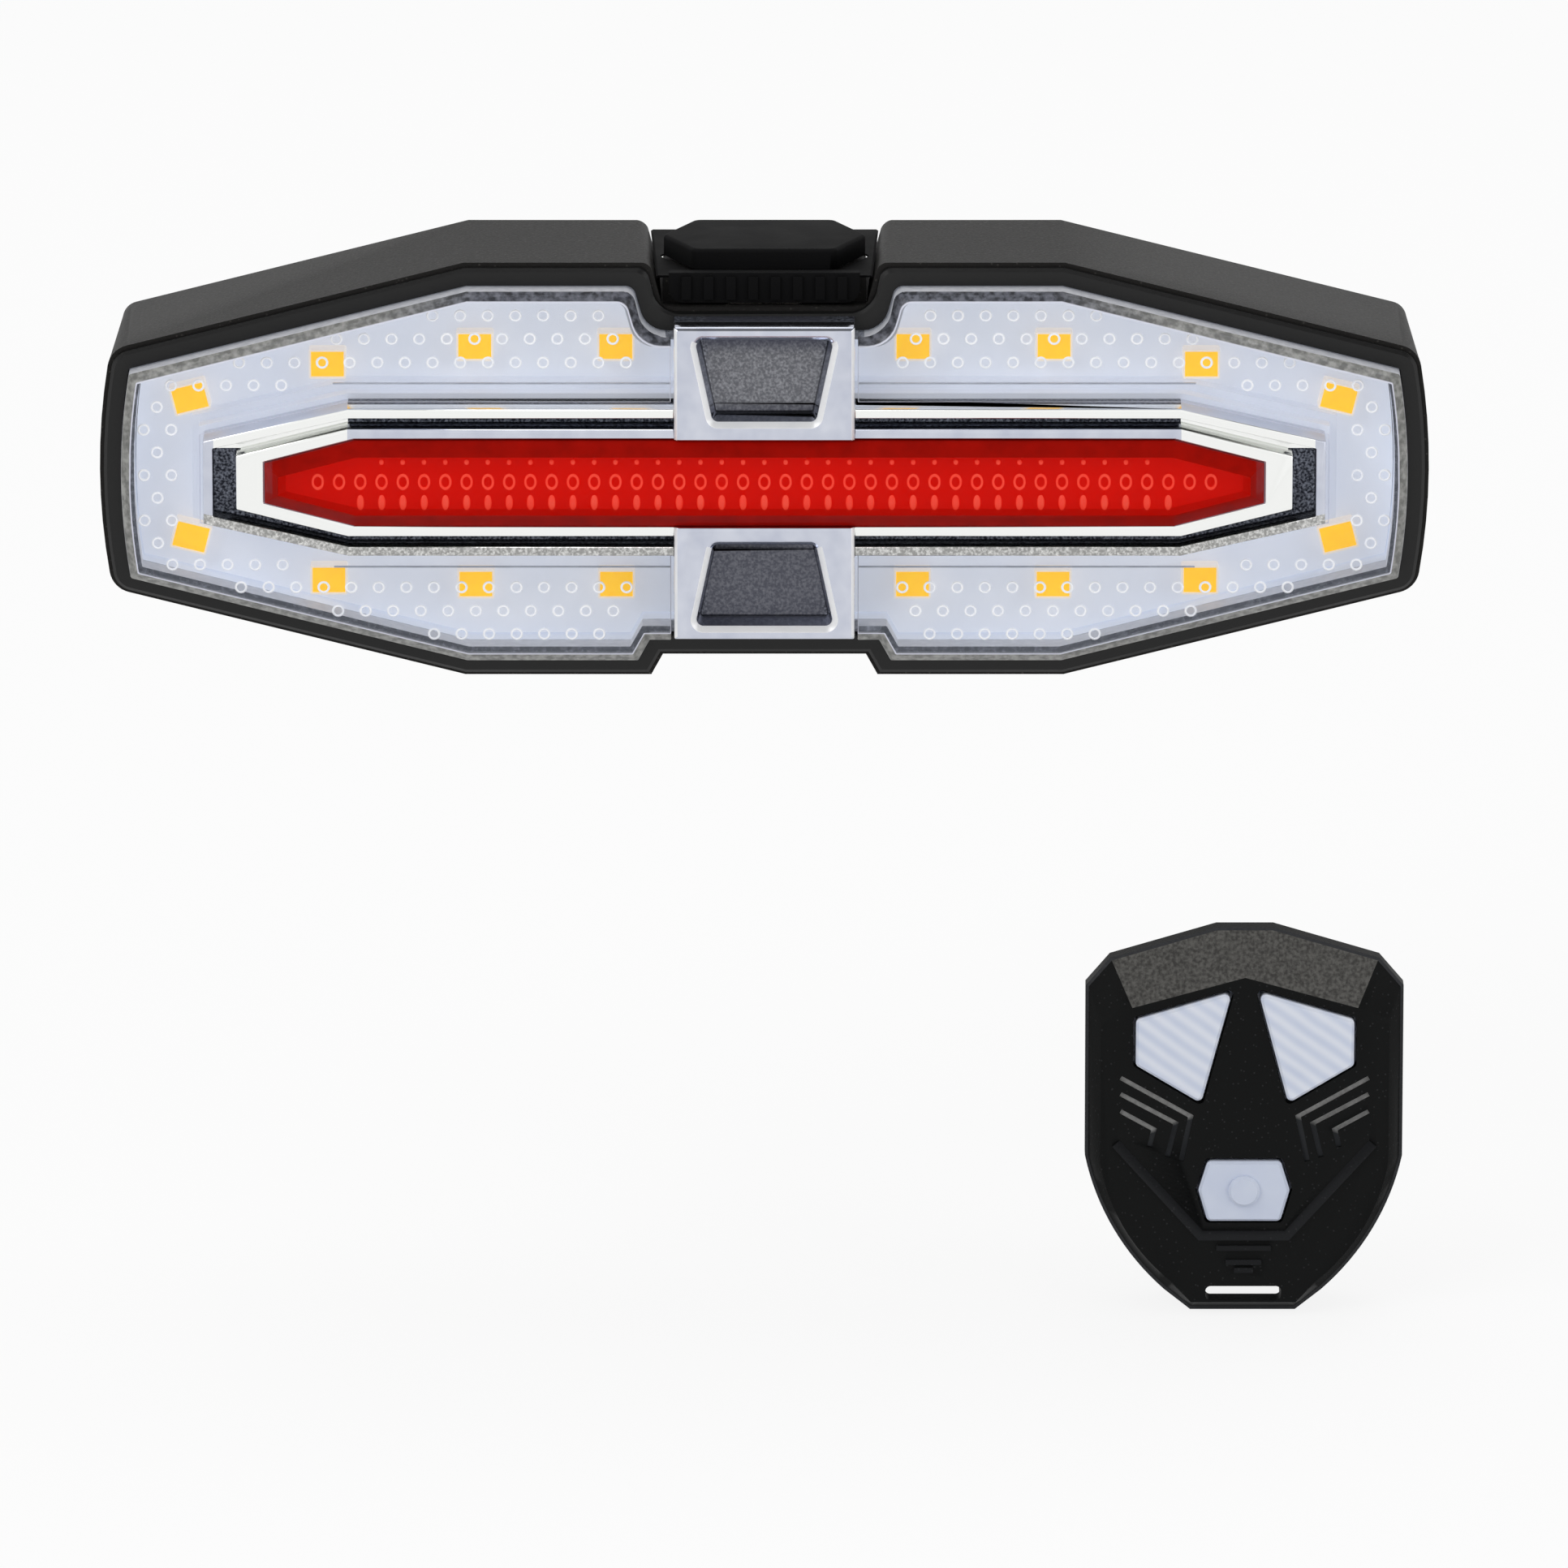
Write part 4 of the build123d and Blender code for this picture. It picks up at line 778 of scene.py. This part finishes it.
# Red lens
# Bar of red polycarbonate, bevelled towards its edges, where it is deepest in colour. The
# skin is clear, and the core behind it carries three rows of small marks that spread light.
red_clear, tree, place = start_material("polycarbonate_red_clear")
flow = add_node(tree, "ShaderNodeTexNoise", {"Vector": place, "Scale": 90.0})
relief = add_node(
    tree,
    "ShaderNodeBump",
    {"Strength": 0.1, "Distance": 0.0002, "Height": flow.outputs["Fac"]},
)
skin = add_node(
    tree,
    "ShaderNodeBsdfPrincipled",
    {
        "Base Color": linear("DC0C00"),
        "Roughness": 0.1,
        "IOR": 1.585,
        "Specular IOR Level": 0.12,
        "Alpha": 0.3,
        "Normal": relief.outputs["Normal"],
    },
)
add_node(tree, "ShaderNodeOutputMaterial", {"Surface": skin.outputs[0]})

# Its bevel is deeper in colour, and hides more of what lies behind
red_edge = clouded(
    "polycarbonate_red_bevel",
    {"Scale": 500.0, "Detail": 3.0},
    "7C0600",
    "B40E02",
    {"Roughness": 0.3, "IOR": 1.585, "Specular IOR Level": 0.05, "Alpha": 0.8},
)
shape = copy_of("red_lens")
for face in shape.faces:
    if face.normal.y > -0.95:
        face.material_index = 1
red_skin = make_piece("red_lens_skin", shape, "lamp", "red_pc", red_clear, red_edge)
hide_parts("red_lens")

# The core is filled with red pigment, with faint streaks from moulding. Its faint red glow is painted
# light.
red_plastic = clouded(
    "polycarbonate_red_filled",
    {"Scale": 160.0, "Detail": 3.0},
    "D00600",
    "EA0E00",
    {
        "Roughness": 0.4,
        "IOR": 1.585,
        "Specular IOR Level": 0.05,
        "Emission Color": linear("E00800"),
        "Emission Strength": 0.12,
    },
)

# The marks catch the light, which is painted here: they are paler and more orange than the core, with a
# faint glow, as painted highlights
red_marks = clouded(
    "polycarbonate_red_bright_marks",
    {"Scale": 700.0},
    "FF2A14",
    "FF7458",
    {"Roughness": 0.3, "IOR": 1.585, "Emission Color": linear("FF3C24"), "Emission Strength": 0.28},
)

red_low, red_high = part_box("red_lens")
core_share = 0.75
shape = copy_of("red_lens")
bmesh.ops.translate(shape, verts=shape.verts, vec=(0, -red_high.y, 0))
bmesh.ops.scale(shape, verts=shape.verts, vec=(0.985, core_share, 0.9))
bmesh.ops.translate(shape, verts=shape.verts, vec=(0, red_high.y, 0))
make_piece("red_lens_core", shape, "lamp", "red_pc", red_plastic)
core_front = -(red_high.y + (red_low.y - red_high.y) * core_share)


def small_ring(name, radius, height, outer_slope, width, inner_slope):
    """Mesh of a raised ring that faces the front, built from its rim inwards."""
    ring = bmesh.new()
    bmesh.ops.create_circle(ring, cap_ends=True, segments=14, radius=radius)
    bmesh.ops.rotate(ring, cent=(0, 0, 0), matrix=Matrix.Rotation(math.pi / 2, 3, "X"), verts=ring.verts)
    ring.faces.ensure_lookup_table()
    middle = ring.faces[0]
    if middle.normal.y > 0:
        middle.normal_flip()
    bmesh.ops.inset_individual(ring, faces=[middle], thickness=outer_slope, depth=height)
    bmesh.ops.inset_individual(ring, faces=[middle], thickness=width)
    bmesh.ops.inset_individual(ring, faces=[middle], thickness=inner_slope, depth=-height)
    bmesh.ops.delete(ring, geom=[middle], context="FACES_ONLY")
    mesh = bpy.data.meshes.new(name)
    ring.to_mesh(mesh)
    ring.free()
    return mesh


ring_mark = small_ring("ring_mark", 0.0007, 0.00008, 0.00004, 0.00018, 0.00004)
one_mark = bmesh.new()
bmesh.ops.create_uvsphere(one_mark, u_segments=8, v_segments=6, radius=0.0005)
bmesh.ops.scale(one_mark, verts=one_mark.verts, vec=(1, 0.3, 1))
dot_mark = bpy.data.meshes.new("dot_mark")
one_mark.to_mesh(dot_mark)
one_mark.free()
# Rows and marks both lie 2 mm apart: dots, tall rings and upright bars
mark_spacing = 2.0
shape = bmesh.new()
for mark, z, reach, wide, tall in (
    (dot_mark, 2.0, 37.0, 0.45, 0.5),
    (ring_mark, 0.1, 43.0, 0.85, 1.15),
    (dot_mark, -1.9, 39.0, 0.7, 1.5),
):
    for step in range(-22, 23):
        x = mark_spacing * step
        if abs(x) > reach:
            continue
        spot = Matrix.Translation((x / 1000, -core_front, z / 1000))
        add_copy(shape, mark, spot @ Matrix.Diagonal((wide, 1, tall, 1)))
make_piece("red_lens_marks", shape, "lamp", "red_pc", red_marks)

# Red light sources
# Fourteen small red parts on a narrow board, behind the red lens.
red_chip = clouded(
    "red_led_silicone",
    {"Scale": 900.0},
    "B01408",
    "E0301C",
    {"Roughness": 0.25, "IOR": 1.41},
)
dress(red_chip, "red_lights")
dress(solder_mask, "red_strip")

# Clear lenses
# Two halves of injected clear polycarbonate with a bevelled edge, 1.4 mm thick. They let
# the white board show, and only their edges catch the light.
clear_pc, tree, place = start_material("polycarbonate_clear")
flow = add_node(tree, "ShaderNodeTexNoise", {"Vector": place, "Scale": 60.0})
relief = add_node(
    tree,
    "ShaderNodeBump",
    {"Strength": 0.05, "Distance": 0.0002, "Height": flow.outputs["Fac"]},
)
skin = add_node(
    tree,
    "ShaderNodeBsdfPrincipled",
    {
        "Base Color": linear("E6ECF8"),
        "Roughness": 0.08,
        "IOR": 1.585,
        "Specular IOR Level": 0.2,
        "Alpha": 0.04,
        "Normal": relief.outputs["Normal"],
    },
)
add_node(tree, "ShaderNodeOutputMaterial", {"Surface": skin.outputs[0]})

# The lens's edge is painted silvery with a faint glow: a painted reflection, whose glow also lifts the
# shade on its walls. Its bevel is grey and specked, painted dark along the top where it shows the dark
# bezel wall behind, and has a thin bright line, a painted highlight, where it meets the flat face.
edge_pc = clouded(
    "polycarbonate_clear_edge",
    {"Scale": 1400.0, "Detail": 3.0},
    "8E8E92",
    "D6D6D8",
    {
        "Roughness": 0.3,
        "IOR": 1.585,
        "Specular IOR Level": 0.2,
        "Alpha": 0.85,
        "Emission Color": linear("C8CEDC"),
        "Emission Strength": 0.2,
    },
)
bevel_pc, tree, place = start_material("polycarbonate_clear_bevel")
parts = add_node(tree, "ShaderNodeSeparateXYZ", {"Vector": place})
haze = add_node(tree, "ShaderNodeTexNoise", {"Vector": place, "Scale": 1500.0, "Detail": 3.0})
spots = add_node(
    tree,
    "ShaderNodeMapRange",
    {"Value": haze.outputs["Fac"], "From Min": 0.38, "From Max": 0.66},
)
grey = add_node(
    tree,
    "ShaderNodeMix",
    {"Factor": spots.outputs["Result"], 6: linear("72726F"), 7: linear("A2A29E")},
    data_type="RGBA",
)
dark = add_node(
    tree,
    "ShaderNodeMix",
    {"Factor": spots.outputs["Result"], 6: linear("24252B"), 7: linear("6A6C76")},
    data_type="RGBA",
)
# Painted dark, the bezel wall seen through the bevel, for 33 mm to either side of the middle, in the top
# half
upper = add_node(tree, "ShaderNodeMath", {0: parts.outputs["Z"], 1: 0.0115}, operation="GREATER_THAN")
far = add_node(tree, "ShaderNodeMath", {0: parts.outputs["X"]}, operation="ABSOLUTE")
central = add_node(
    tree,
    "ShaderNodeMapRange",
    {"Value": far.outputs[0], "From Min": 0.038, "From Max": 0.027},
)
share = add_node(
    tree,
    "ShaderNodeMath",
    {0: upper.outputs[0], 1: central.outputs["Result"]},
    operation="MULTIPLY",
)
band = add_node(
    tree,
    "ShaderNodeMix",
    {"Factor": share.outputs[0], 6: grey.outputs[2], 7: dark.outputs[2]},
    data_type="RGBA",
)
# The thin bright line at the front edge is a painted highlight
brink_highlight = add_node(
    tree,
    "ShaderNodeMapRange",
    {"Value": parts.outputs["Y"], "From Min": -0.04504, "From Max": -0.04512},
)
tint = add_node(
    tree,
    "ShaderNodeMix",
    {"Factor": brink_highlight.outputs["Result"], 6: band.outputs[2], 7: linear("E2E4F2")},
    data_type="RGBA",
)
skin = add_node(
    tree,
    "ShaderNodeBsdfPrincipled",
    {
        "Base Color": tint.outputs[2],
        "Roughness": 0.3,
        "IOR": 1.585,
        "Specular IOR Level": 0.2,
        "Alpha": 0.92,
    },
)
add_node(tree, "ShaderNodeOutputMaterial", {"Surface": skin.outputs[0]})
for side in ("left", "right"):
    shape = copy_of(side + "_lens")
    round_notch(shape, notch_mouth_round, notch_foot_round)
    ease_edges(shape, 0.00008, least=20.0)
    front = min(v.co.y for v in shape.verts)
    # The bevel round the front takes the third material, and the outer walls take the second
    for face in shape.faces:
        middle = face.calc_center_median()
        beyond = max(abs(middle.x) - ring_straight, 0)
        outside = abs(middle.z) + ring_fall * beyond > 0.0088 or abs(middle.x) > 0.055
        if -0.95 < face.normal.y < -0.25 and middle.y < front + 0.0009:
            face.material_index = 2
        elif abs(face.normal.y) < 0.25 and outside and abs(middle.x) > 0.0092:
            face.material_index = 1
    cover = make_piece(side + "_lens_cover", shape, "lamp", "clear_pc", clear_pc, edge_pc, bevel_pc)
    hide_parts(side + "_lens")

# Lens marks
# Rings moulded on the inside of the clear lenses, 1.2 mm across, in rows 2.2 mm apart with 2.6 mm between
# them. They spread the light of the amber sources. They are drawn opaque white with a faint glow, as
# painted highlights on the clear rings.
ring_painted_highlight = clouded(
    "polycarbonate_ring_marks",
    {"Scale": 900.0},
    "E4E9F4",
    "FFFFFF",
    {"Roughness": 0.25, "IOR": 1.585, "Emission Color": linear("FFFFFF"), "Emission Strength": 0.16},
)
rim_plane = 0.0424
lens_proud = 0.0028
lens_wall = 0.0014
lens_inside = rim_plane + lens_proud - lens_wall
ring_mesh = small_ring("one_ring", 0.0006, 0.00012, 0.00008, 0.00008, 0.00006)
# Height of each row, and its outer and inner end, in millimetres
rows = (
    (15.45, 31.2, 15.6),
    (13.2, 40.25, 14.25),
    (10.9, 49.4, 13.0),
    (8.7, 55.85, 45.45),
    (6.6, 57.2, 57.2),
    (4.4, 58.45, 55.85),
    (2.2, 57.2, 57.2),
    (0.0, 58.45, 55.85),
)
ring_spacing = 2.6
ring_sink = 0.00002
shape = bmesh.new()
for z, outer, inner in rows:
    for step in range(round((outer - inner) / ring_spacing) + 1):
        x = outer - ring_spacing * step
        for side_x in (1, -1):
            for side_z in (1, -1) if z else (1,):
                across = side_x * x / 1000
                spot = Matrix.Translation((across, -lens_inside + ring_sink, side_z * z / 1000))
                add_copy(shape, ring_mesh, spot)
make_piece("lens_ring_marks", shape, "lamp", "clear_pc", ring_painted_highlight)

# Step lines in the lens
# A fine step moulded on the inside of both lenses runs round the trim, 2.9 mm from it, and shows as a thin
# grey line. The step itself is clear, and the grey of the bar is painted, for the way the step bends the
# light.
step_pc = clouded(
    "polycarbonate_step_line",
    {"Scale": 600.0},
    "8A90A0",
    "C4CAD8",
    {"Roughness": 0.3, "IOR": 1.585},
)
step_size = (0.0318, 0.0002, 0.00014)
step_middle = 0.0247
step_height = 0.0089
shape = bmesh.new()
for side in (1, -1):
    for up in (1, -1):
        bar = bmesh.ops.create_cube(shape, size=1.0)["verts"]
        bmesh.ops.scale(shape, verts=bar, vec=step_size)
        bmesh.ops.translate(shape, verts=bar, vec=(side * step_middle, -lens_inside, up * step_height))
make_piece("lens_step_lines", shape, "lamp", "clear_pc", step_pc)

# Charging socket, coin cell and spring contact
# Stamped and nickel plated steel, smooth and slightly warm, with faint rolling lines.
nickel, tree, place = start_material("steel_nickel_plated")
stretched = add_node(tree, "ShaderNodeMapping", {"Vector": place, "Scale": (200.0, 4000.0, 4000.0)})
lines = add_node(tree, "ShaderNodeTexNoise", {"Vector": stretched.outputs["Vector"], "Scale": 1.0})
dull = add_node(tree, "ShaderNodeMapRange", {"Value": lines.outputs["Fac"], "To Min": 0.18, "To Max": 0.36})
skin = add_node(
    tree,
    "ShaderNodeBsdfPrincipled",
    {"Base Color": linear("C9C4BA"), "Metallic": 1.0, "Roughness": dull.outputs["Result"]},
)
add_node(tree, "ShaderNodeOutputMaterial", {"Surface": skin.outputs[0]})
dress(nickel, "charging_socket", "coin_cell", "cell_contact")

# Inner boards
# Fibreglass with a green solder mask over copper tracks, which show as paler bands.
green_mask, tree, place = start_material("fibreglass_green_mask")
tracks = add_node(
    tree,
    "ShaderNodeTexBrick",
    {
        "Vector": place,
        "Color1": linear("0F5A33"),
        "Color2": linear("12663A"),
        "Mortar": linear("2E8A55"),
        "Scale": 220.0,
        "Mortar Size": 0.03,
    },
)
skin = add_node(
    tree,
    "ShaderNodeBsdfPrincipled",
    {"Base Color": tracks.outputs["Color"], "Roughness": 0.35, "IOR": 1.5},
)
add_node(tree, "ShaderNodeOutputMaterial", {"Surface": skin.outputs[0]})
dress(green_mask, "control_board", "switch_board", "remote_board")

# Switches
# Small tact switches with black moulded cases.
switch_nylon, tree, place = start_material("nylon_switch_black")
grain = add_node(tree, "ShaderNodeTexNoise", {"Vector": place, "Scale": 2000.0})
dull = add_node(tree, "ShaderNodeMapRange", {"Value": grain.outputs["Fac"], "To Min": 0.35, "To Max": 0.5})
skin = add_node(
    tree,
    "ShaderNodeBsdfPrincipled",
    {"Base Color": linear("1B1B1D"), "Roughness": dull.outputs["Result"], "IOR": 1.53},
)
add_node(tree, "ShaderNodeOutputMaterial", {"Surface": skin.outputs[0]})
dress(switch_nylon, "power_switch", "remote_switches")

# Battery and its foam pad
# Flat lithium cell in an aluminium laminate pouch, on a strip of grey open foam.
pouch, tree, place = start_material("aluminium_laminate_pouch")
creases = add_node(tree, "ShaderNodeTexNoise", {"Vector": place, "Scale": 150.0, "Detail": 4.0})
relief = add_node(
    tree,
    "ShaderNodeBump",
    {"Strength": 0.4, "Distance": 0.0002, "Height": creases.outputs["Fac"]},
)
skin = add_node(
    tree,
    "ShaderNodeBsdfPrincipled",
    {
        "Base Color": linear("B9BCC0"),
        "Metallic": 1.0,
        "Roughness": 0.38,
        "Normal": relief.outputs["Normal"],
    },
)
add_node(tree, "ShaderNodeOutputMaterial", {"Surface": skin.outputs[0]})
dress(pouch, "battery")

foam, tree, place = start_material("polyurethane_foam_grey")
cells = add_node(tree, "ShaderNodeTexVoronoi", {"Vector": place, "Scale": 2200.0})
tint = add_node(
    tree,
    "ShaderNodeMix",
    {"Factor": cells.outputs["Distance"], 6: linear("2F3032"), 7: linear("66686B")},
    data_type="RGBA",
)
relief = add_node(
    tree,
    "ShaderNodeBump",
    {"Strength": 0.6, "Distance": 0.0002, "Height": cells.outputs["Distance"]},
)
skin = add_node(
    tree,
    "ShaderNodeBsdfPrincipled",
    {"Base Color": tint.outputs[2], "Roughness": 0.9, "Normal": relief.outputs["Normal"]},
)
add_node(tree, "ShaderNodeOutputMaterial", {"Surface": skin.outputs[0]})
dress(foam, "battery_foam")

# Screws
# Six cross head screws of steel with a black zinc coat.
black_zinc, tree, place = start_material("steel_black_zinc")
marks = add_node(tree, "ShaderNodeTexNoise", {"Vector": place, "Scale": 900.0})
dull = add_node(tree, "ShaderNodeMapRange", {"Value": marks.outputs["Fac"], "To Min": 0.28, "To Max": 0.5})
skin = add_node(
    tree,
    "ShaderNodeBsdfPrincipled",
    {"Base Color": linear("4A4A4D"), "Metallic": 1.0, "Roughness": dull.outputs["Result"]},
)
add_node(tree, "ShaderNodeOutputMaterial", {"Surface": skin.outputs[0]})
dress(black_zinc, "housing_screws")

# Bracket
# Saddle of glass filled black nylon, dull, with faint flow marks and pale fibre specks.
filled_nylon, tree, place = start_material("nylon_glass_filled_black")
flow = add_node(
    tree,
    "ShaderNodeTexNoise",
    {"Vector": place, "Scale": 130.0, "Detail": 4.0, "Distortion": 0.8},
)
grain = add_node(tree, "ShaderNodeTexNoise", {"Vector": place, "Scale": 2600.0, "Detail": 2.0})
tint = add_node(
    tree,
    "ShaderNodeMix",
    {"Factor": flow.outputs["Fac"], 6: linear("19191A"), 7: linear("272728")},
    data_type="RGBA",
)
dull = add_node(tree, "ShaderNodeMapRange", {"Value": flow.outputs["Fac"], "To Min": 0.45, "To Max": 0.65})
relief = add_node(
    tree,
    "ShaderNodeBump",
    {"Strength": 0.4, "Distance": 0.00006, "Height": grain.outputs["Fac"]},
)
skin = add_node(
    tree,
    "ShaderNodeBsdfPrincipled",
    {
        "Base Color": tint.outputs[2],
        "Roughness": dull.outputs["Result"],
        "IOR": 1.53,
        "Normal": relief.outputs["Normal"],
    },
)
add_node(tree, "ShaderNodeOutputMaterial", {"Surface": skin.outputs[0]})
dress(filled_nylon, "saddle_bracket")

# Remote shells and battery door
# Black ABS. The upper facets have a coarse grain, and since they face up they are painted grey for the
# light that falls on them from above; the rest is finer and nearly black. The raised collar and the grooves
# look paler.
remote_x = 0.0456
# Grain of 0.3 mm, coarser than the real one so that it shows
fine_abs, tree, place = start_material("abs_fine_grain_black")
parts = add_node(tree, "ShaderNodeSeparateXYZ", {"Vector": place})
grain = add_node(tree, "ShaderNodeTexNoise", {"Vector": place, "Scale": 3600.0, "Detail": 2.0})
specks = add_node(tree, "ShaderNodeTexVoronoi", {"Vector": place, "Scale": 1700.0})
dots = add_node(
    tree,
    "ShaderNodeMapRange",
    {"Value": specks.outputs["Distance"], "From Min": 0.1, "From Max": 0.18, "To Min": 0.4, "To Max": 0.0},
)
# The raised faces in front are paler than the rest
raised = add_node(
    tree,
    "ShaderNodeMapRange",
    {"Value": parts.outputs["Y"], "From Min": -0.0467, "From Max": -0.0469},
)
raised_tone = add_node(
    tree,
    "ShaderNodeMix",
    {"Factor": raised.outputs["Result"], 6: linear("030404"), 7: linear("1A1B1D")},
    data_type="RGBA",
)
tint = add_node(
    tree,
    "ShaderNodeMix",
    {"Factor": dots.outputs["Result"], 6: raised_tone.outputs[2], 7: linear("3A3A3C")},
    data_type="RGBA",
)
relief = add_node(
    tree,
    "ShaderNodeBump",
    {"Strength": 0.5, "Distance": 0.00006, "Height": grain.outputs["Fac"]},
)
skin = add_node(
    tree,
    "ShaderNodeBsdfPrincipled",
    {
        "Base Color": tint.outputs[2],
        "Roughness": 0.6,
        "IOR": 1.53,
        "Specular IOR Level": 0.12,
        "Normal": relief.outputs["Normal"],
    },
)
add_node(tree, "ShaderNodeOutputMaterial", {"Surface": skin.outputs[0]})
dress(fine_abs, "remote_back_shell", "battery_door")

# Grain of 0.33 mm with more contrast, on a grey that is painted light from above
coarse_abs_lit_from_above, tree, place = start_material("abs_coarse_grain_grey")
grain = add_node(tree, "ShaderNodeTexNoise", {"Vector": place, "Scale": 3000.0, "Detail": 3.0})
spread = add_node(
    tree,
    "ShaderNodeMapRange",
    {"Value": grain.outputs["Fac"], "From Min": 0.35, "From Max": 0.65},
)
tint = add_node(
    tree,
    "ShaderNodeMix",
    {"Factor": spread.outputs["Result"], 6: linear("3A3937"), 7: linear("5C5B58")},
    data_type="RGBA",
)
relief = add_node(
    tree,
    "ShaderNodeBump",
    {"Strength": 0.5, "Distance": 0.00008, "Height": grain.outputs["Fac"]},
)
skin = add_node(
    tree,
    "ShaderNodeBsdfPrincipled",
    {
        "Base Color": tint.outputs[2],
        "Roughness": 0.7,
        "IOR": 1.53,
        "Specular IOR Level": 0.2,
        "Normal": relief.outputs["Normal"],
    },
)
add_node(tree, "ShaderNodeOutputMaterial", {"Surface": skin.outputs[0]})

# Grooves: the slanted parts catch the light, and the upright parts stay dark
groove_abs, tree, place = start_material("abs_groove_grey")
parts = add_node(tree, "ShaderNodeSeparateXYZ", {"Vector": place})
grain = add_node(tree, "ShaderNodeTexNoise", {"Vector": place, "Scale": 2600.0})
aside = add_node(tree, "ShaderNodeMath", {0: parts.outputs["X"], 1: remote_x}, operation="SUBTRACT")
aside = add_node(tree, "ShaderNodeMath", {0: aside.outputs[0]}, operation="ABSOLUTE")
height = add_node(
    tree,
    "ShaderNodeMath",
    {0: aside.outputs[0], 1: 0.371, 2: parts.outputs["Z"]},
    operation="MULTIPLY_ADD",
)
slanted = add_node(
    tree,
    "ShaderNodeMapRange",
    {"Value": height.outputs[0], "From Min": -0.0606, "From Max": -0.0602},
)
pale = add_node(
    tree,
    "ShaderNodeMix",
    {"Factor": grain.outputs["Fac"], 6: linear("6E6E6E"), 7: linear("A6A6A4")},
    data_type="RGBA",
)
tint = add_node(
    tree,
    "ShaderNodeMix",
    {"Factor": slanted.outputs["Result"], 6: linear("2C2E31"), 7: pale.outputs[2]},
    data_type="RGBA",
)
skin = add_node(
    tree,
    "ShaderNodeBsdfPrincipled",
    {"Base Color": tint.outputs[2], "Roughness": 0.6, "IOR": 1.53, "Specular IOR Level": 0.2},
)
add_node(tree, "ShaderNodeOutputMaterial", {"Surface": skin.outputs[0]})

# The rim and the edges of the short bars are painted a little paler, as a highlight
rim_highlight_abs = clouded(
    "abs_rim_grey",
    {"Scale": 2600.0},
    "222325",
    "36373A",
    {"Roughness": 0.6, "IOR": 1.53, "Specular IOR Level": 0.2},
)

plateau = -0.0466
bar_groove_depth = -0.0464
# The upper facets are coarse and painted lit, the floors of the grooves are groove grey, and the rim and
# the upper walls of the short bars take the rim's painted highlight
shape = copy_of("remote_front_shell")
for face in shape.faces:
    middle = face.calc_center_median()
    slope = face.normal
    above = middle.z > -0.0535 and middle.y < -0.04425
    broad = face.calc_area() > 1e-5 or abs(middle.x - remote_x) < 0.003
    if above and broad and 0.3 < slope.z < 0.7 and slope.y < -0.3 and abs(slope.x) < 0.25:
        face.material_index = 1
    elif slope.y < -0.99 and plateau + 0.0002 < middle.y < plateau + 0.0004:
        face.material_index = 2
    elif slope.y < -0.99 and -0.0444 < middle.y < -0.044:
        face.material_index = 3
    elif slope.z > 0.5 and -0.0785 < middle.z < -0.074 and middle.y < bar_groove_depth:
        face.material_index = 3
shell = make_piece(
    "remote_shell_front", shape, "remote", "remote_abs", fine_abs, coarse_abs_lit_from_above, groove_abs, rim_highlight_abs
)
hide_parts("remote_front_shell")

# Remote keys
# Two turn keys and a mode key of milky silicone. Fine slanted ribs, moulded 1.3 mm apart on
# the back of the turn keys, show through as paler lines.
milky, tree, place = start_material("silicone_milky")
clouds = add_node(tree, "ShaderNodeTexNoise", {"Vector": place, "Scale": 300.0})
turned = add_node(
    tree,
    "ShaderNodeMapping",
    {"Vector": place, "Rotation": (0, math.radians(-36), 0)},
)
ribs = add_node(
    tree,
    "ShaderNodeTexWave",
    {"Vector": turned.outputs["Vector"], "Scale": 240.0, "Distortion": 0.6, "Detail": 1.0},
    bands_direction="Z",
)
parts = add_node(tree, "ShaderNodeSeparateXYZ", {"Vector": place})
turn_keys = add_node(
    tree,
    "ShaderNodeMapRange",
    {"Value": parts.outputs["Z"], "From Min": -0.064, "From Max": -0.063, "To Max": 0.55},
)
lines = add_node(
    tree,
    "ShaderNodeMath",
    {0: ribs.outputs["Fac"], 1: turn_keys.outputs["Result"]},
    operation="MULTIPLY",
)
tint = add_node(
    tree,
    "ShaderNodeMix",
    {"Factor": clouds.outputs["Fac"], 6: linear("C6CFE4"), 7: linear("D6DDEC")},
    data_type="RGBA",
)
lined = add_node(
    tree,
    "ShaderNodeMix",
    {"Factor": lines.outputs[0], 6: tint.outputs[2], 7: linear("EEF1F8")},
    data_type="RGBA",
)
skin = add_node(
    tree,
    "ShaderNodeBsdfPrincipled",
    {"Base Color": lined.outputs[2], "Roughness": 0.4, "IOR": 1.42},
)
add_node(tree, "ShaderNodeOutputMaterial", {"Surface": skin.outputs[0]})
dress(milky, "left_key", "right_key", "mode_key")
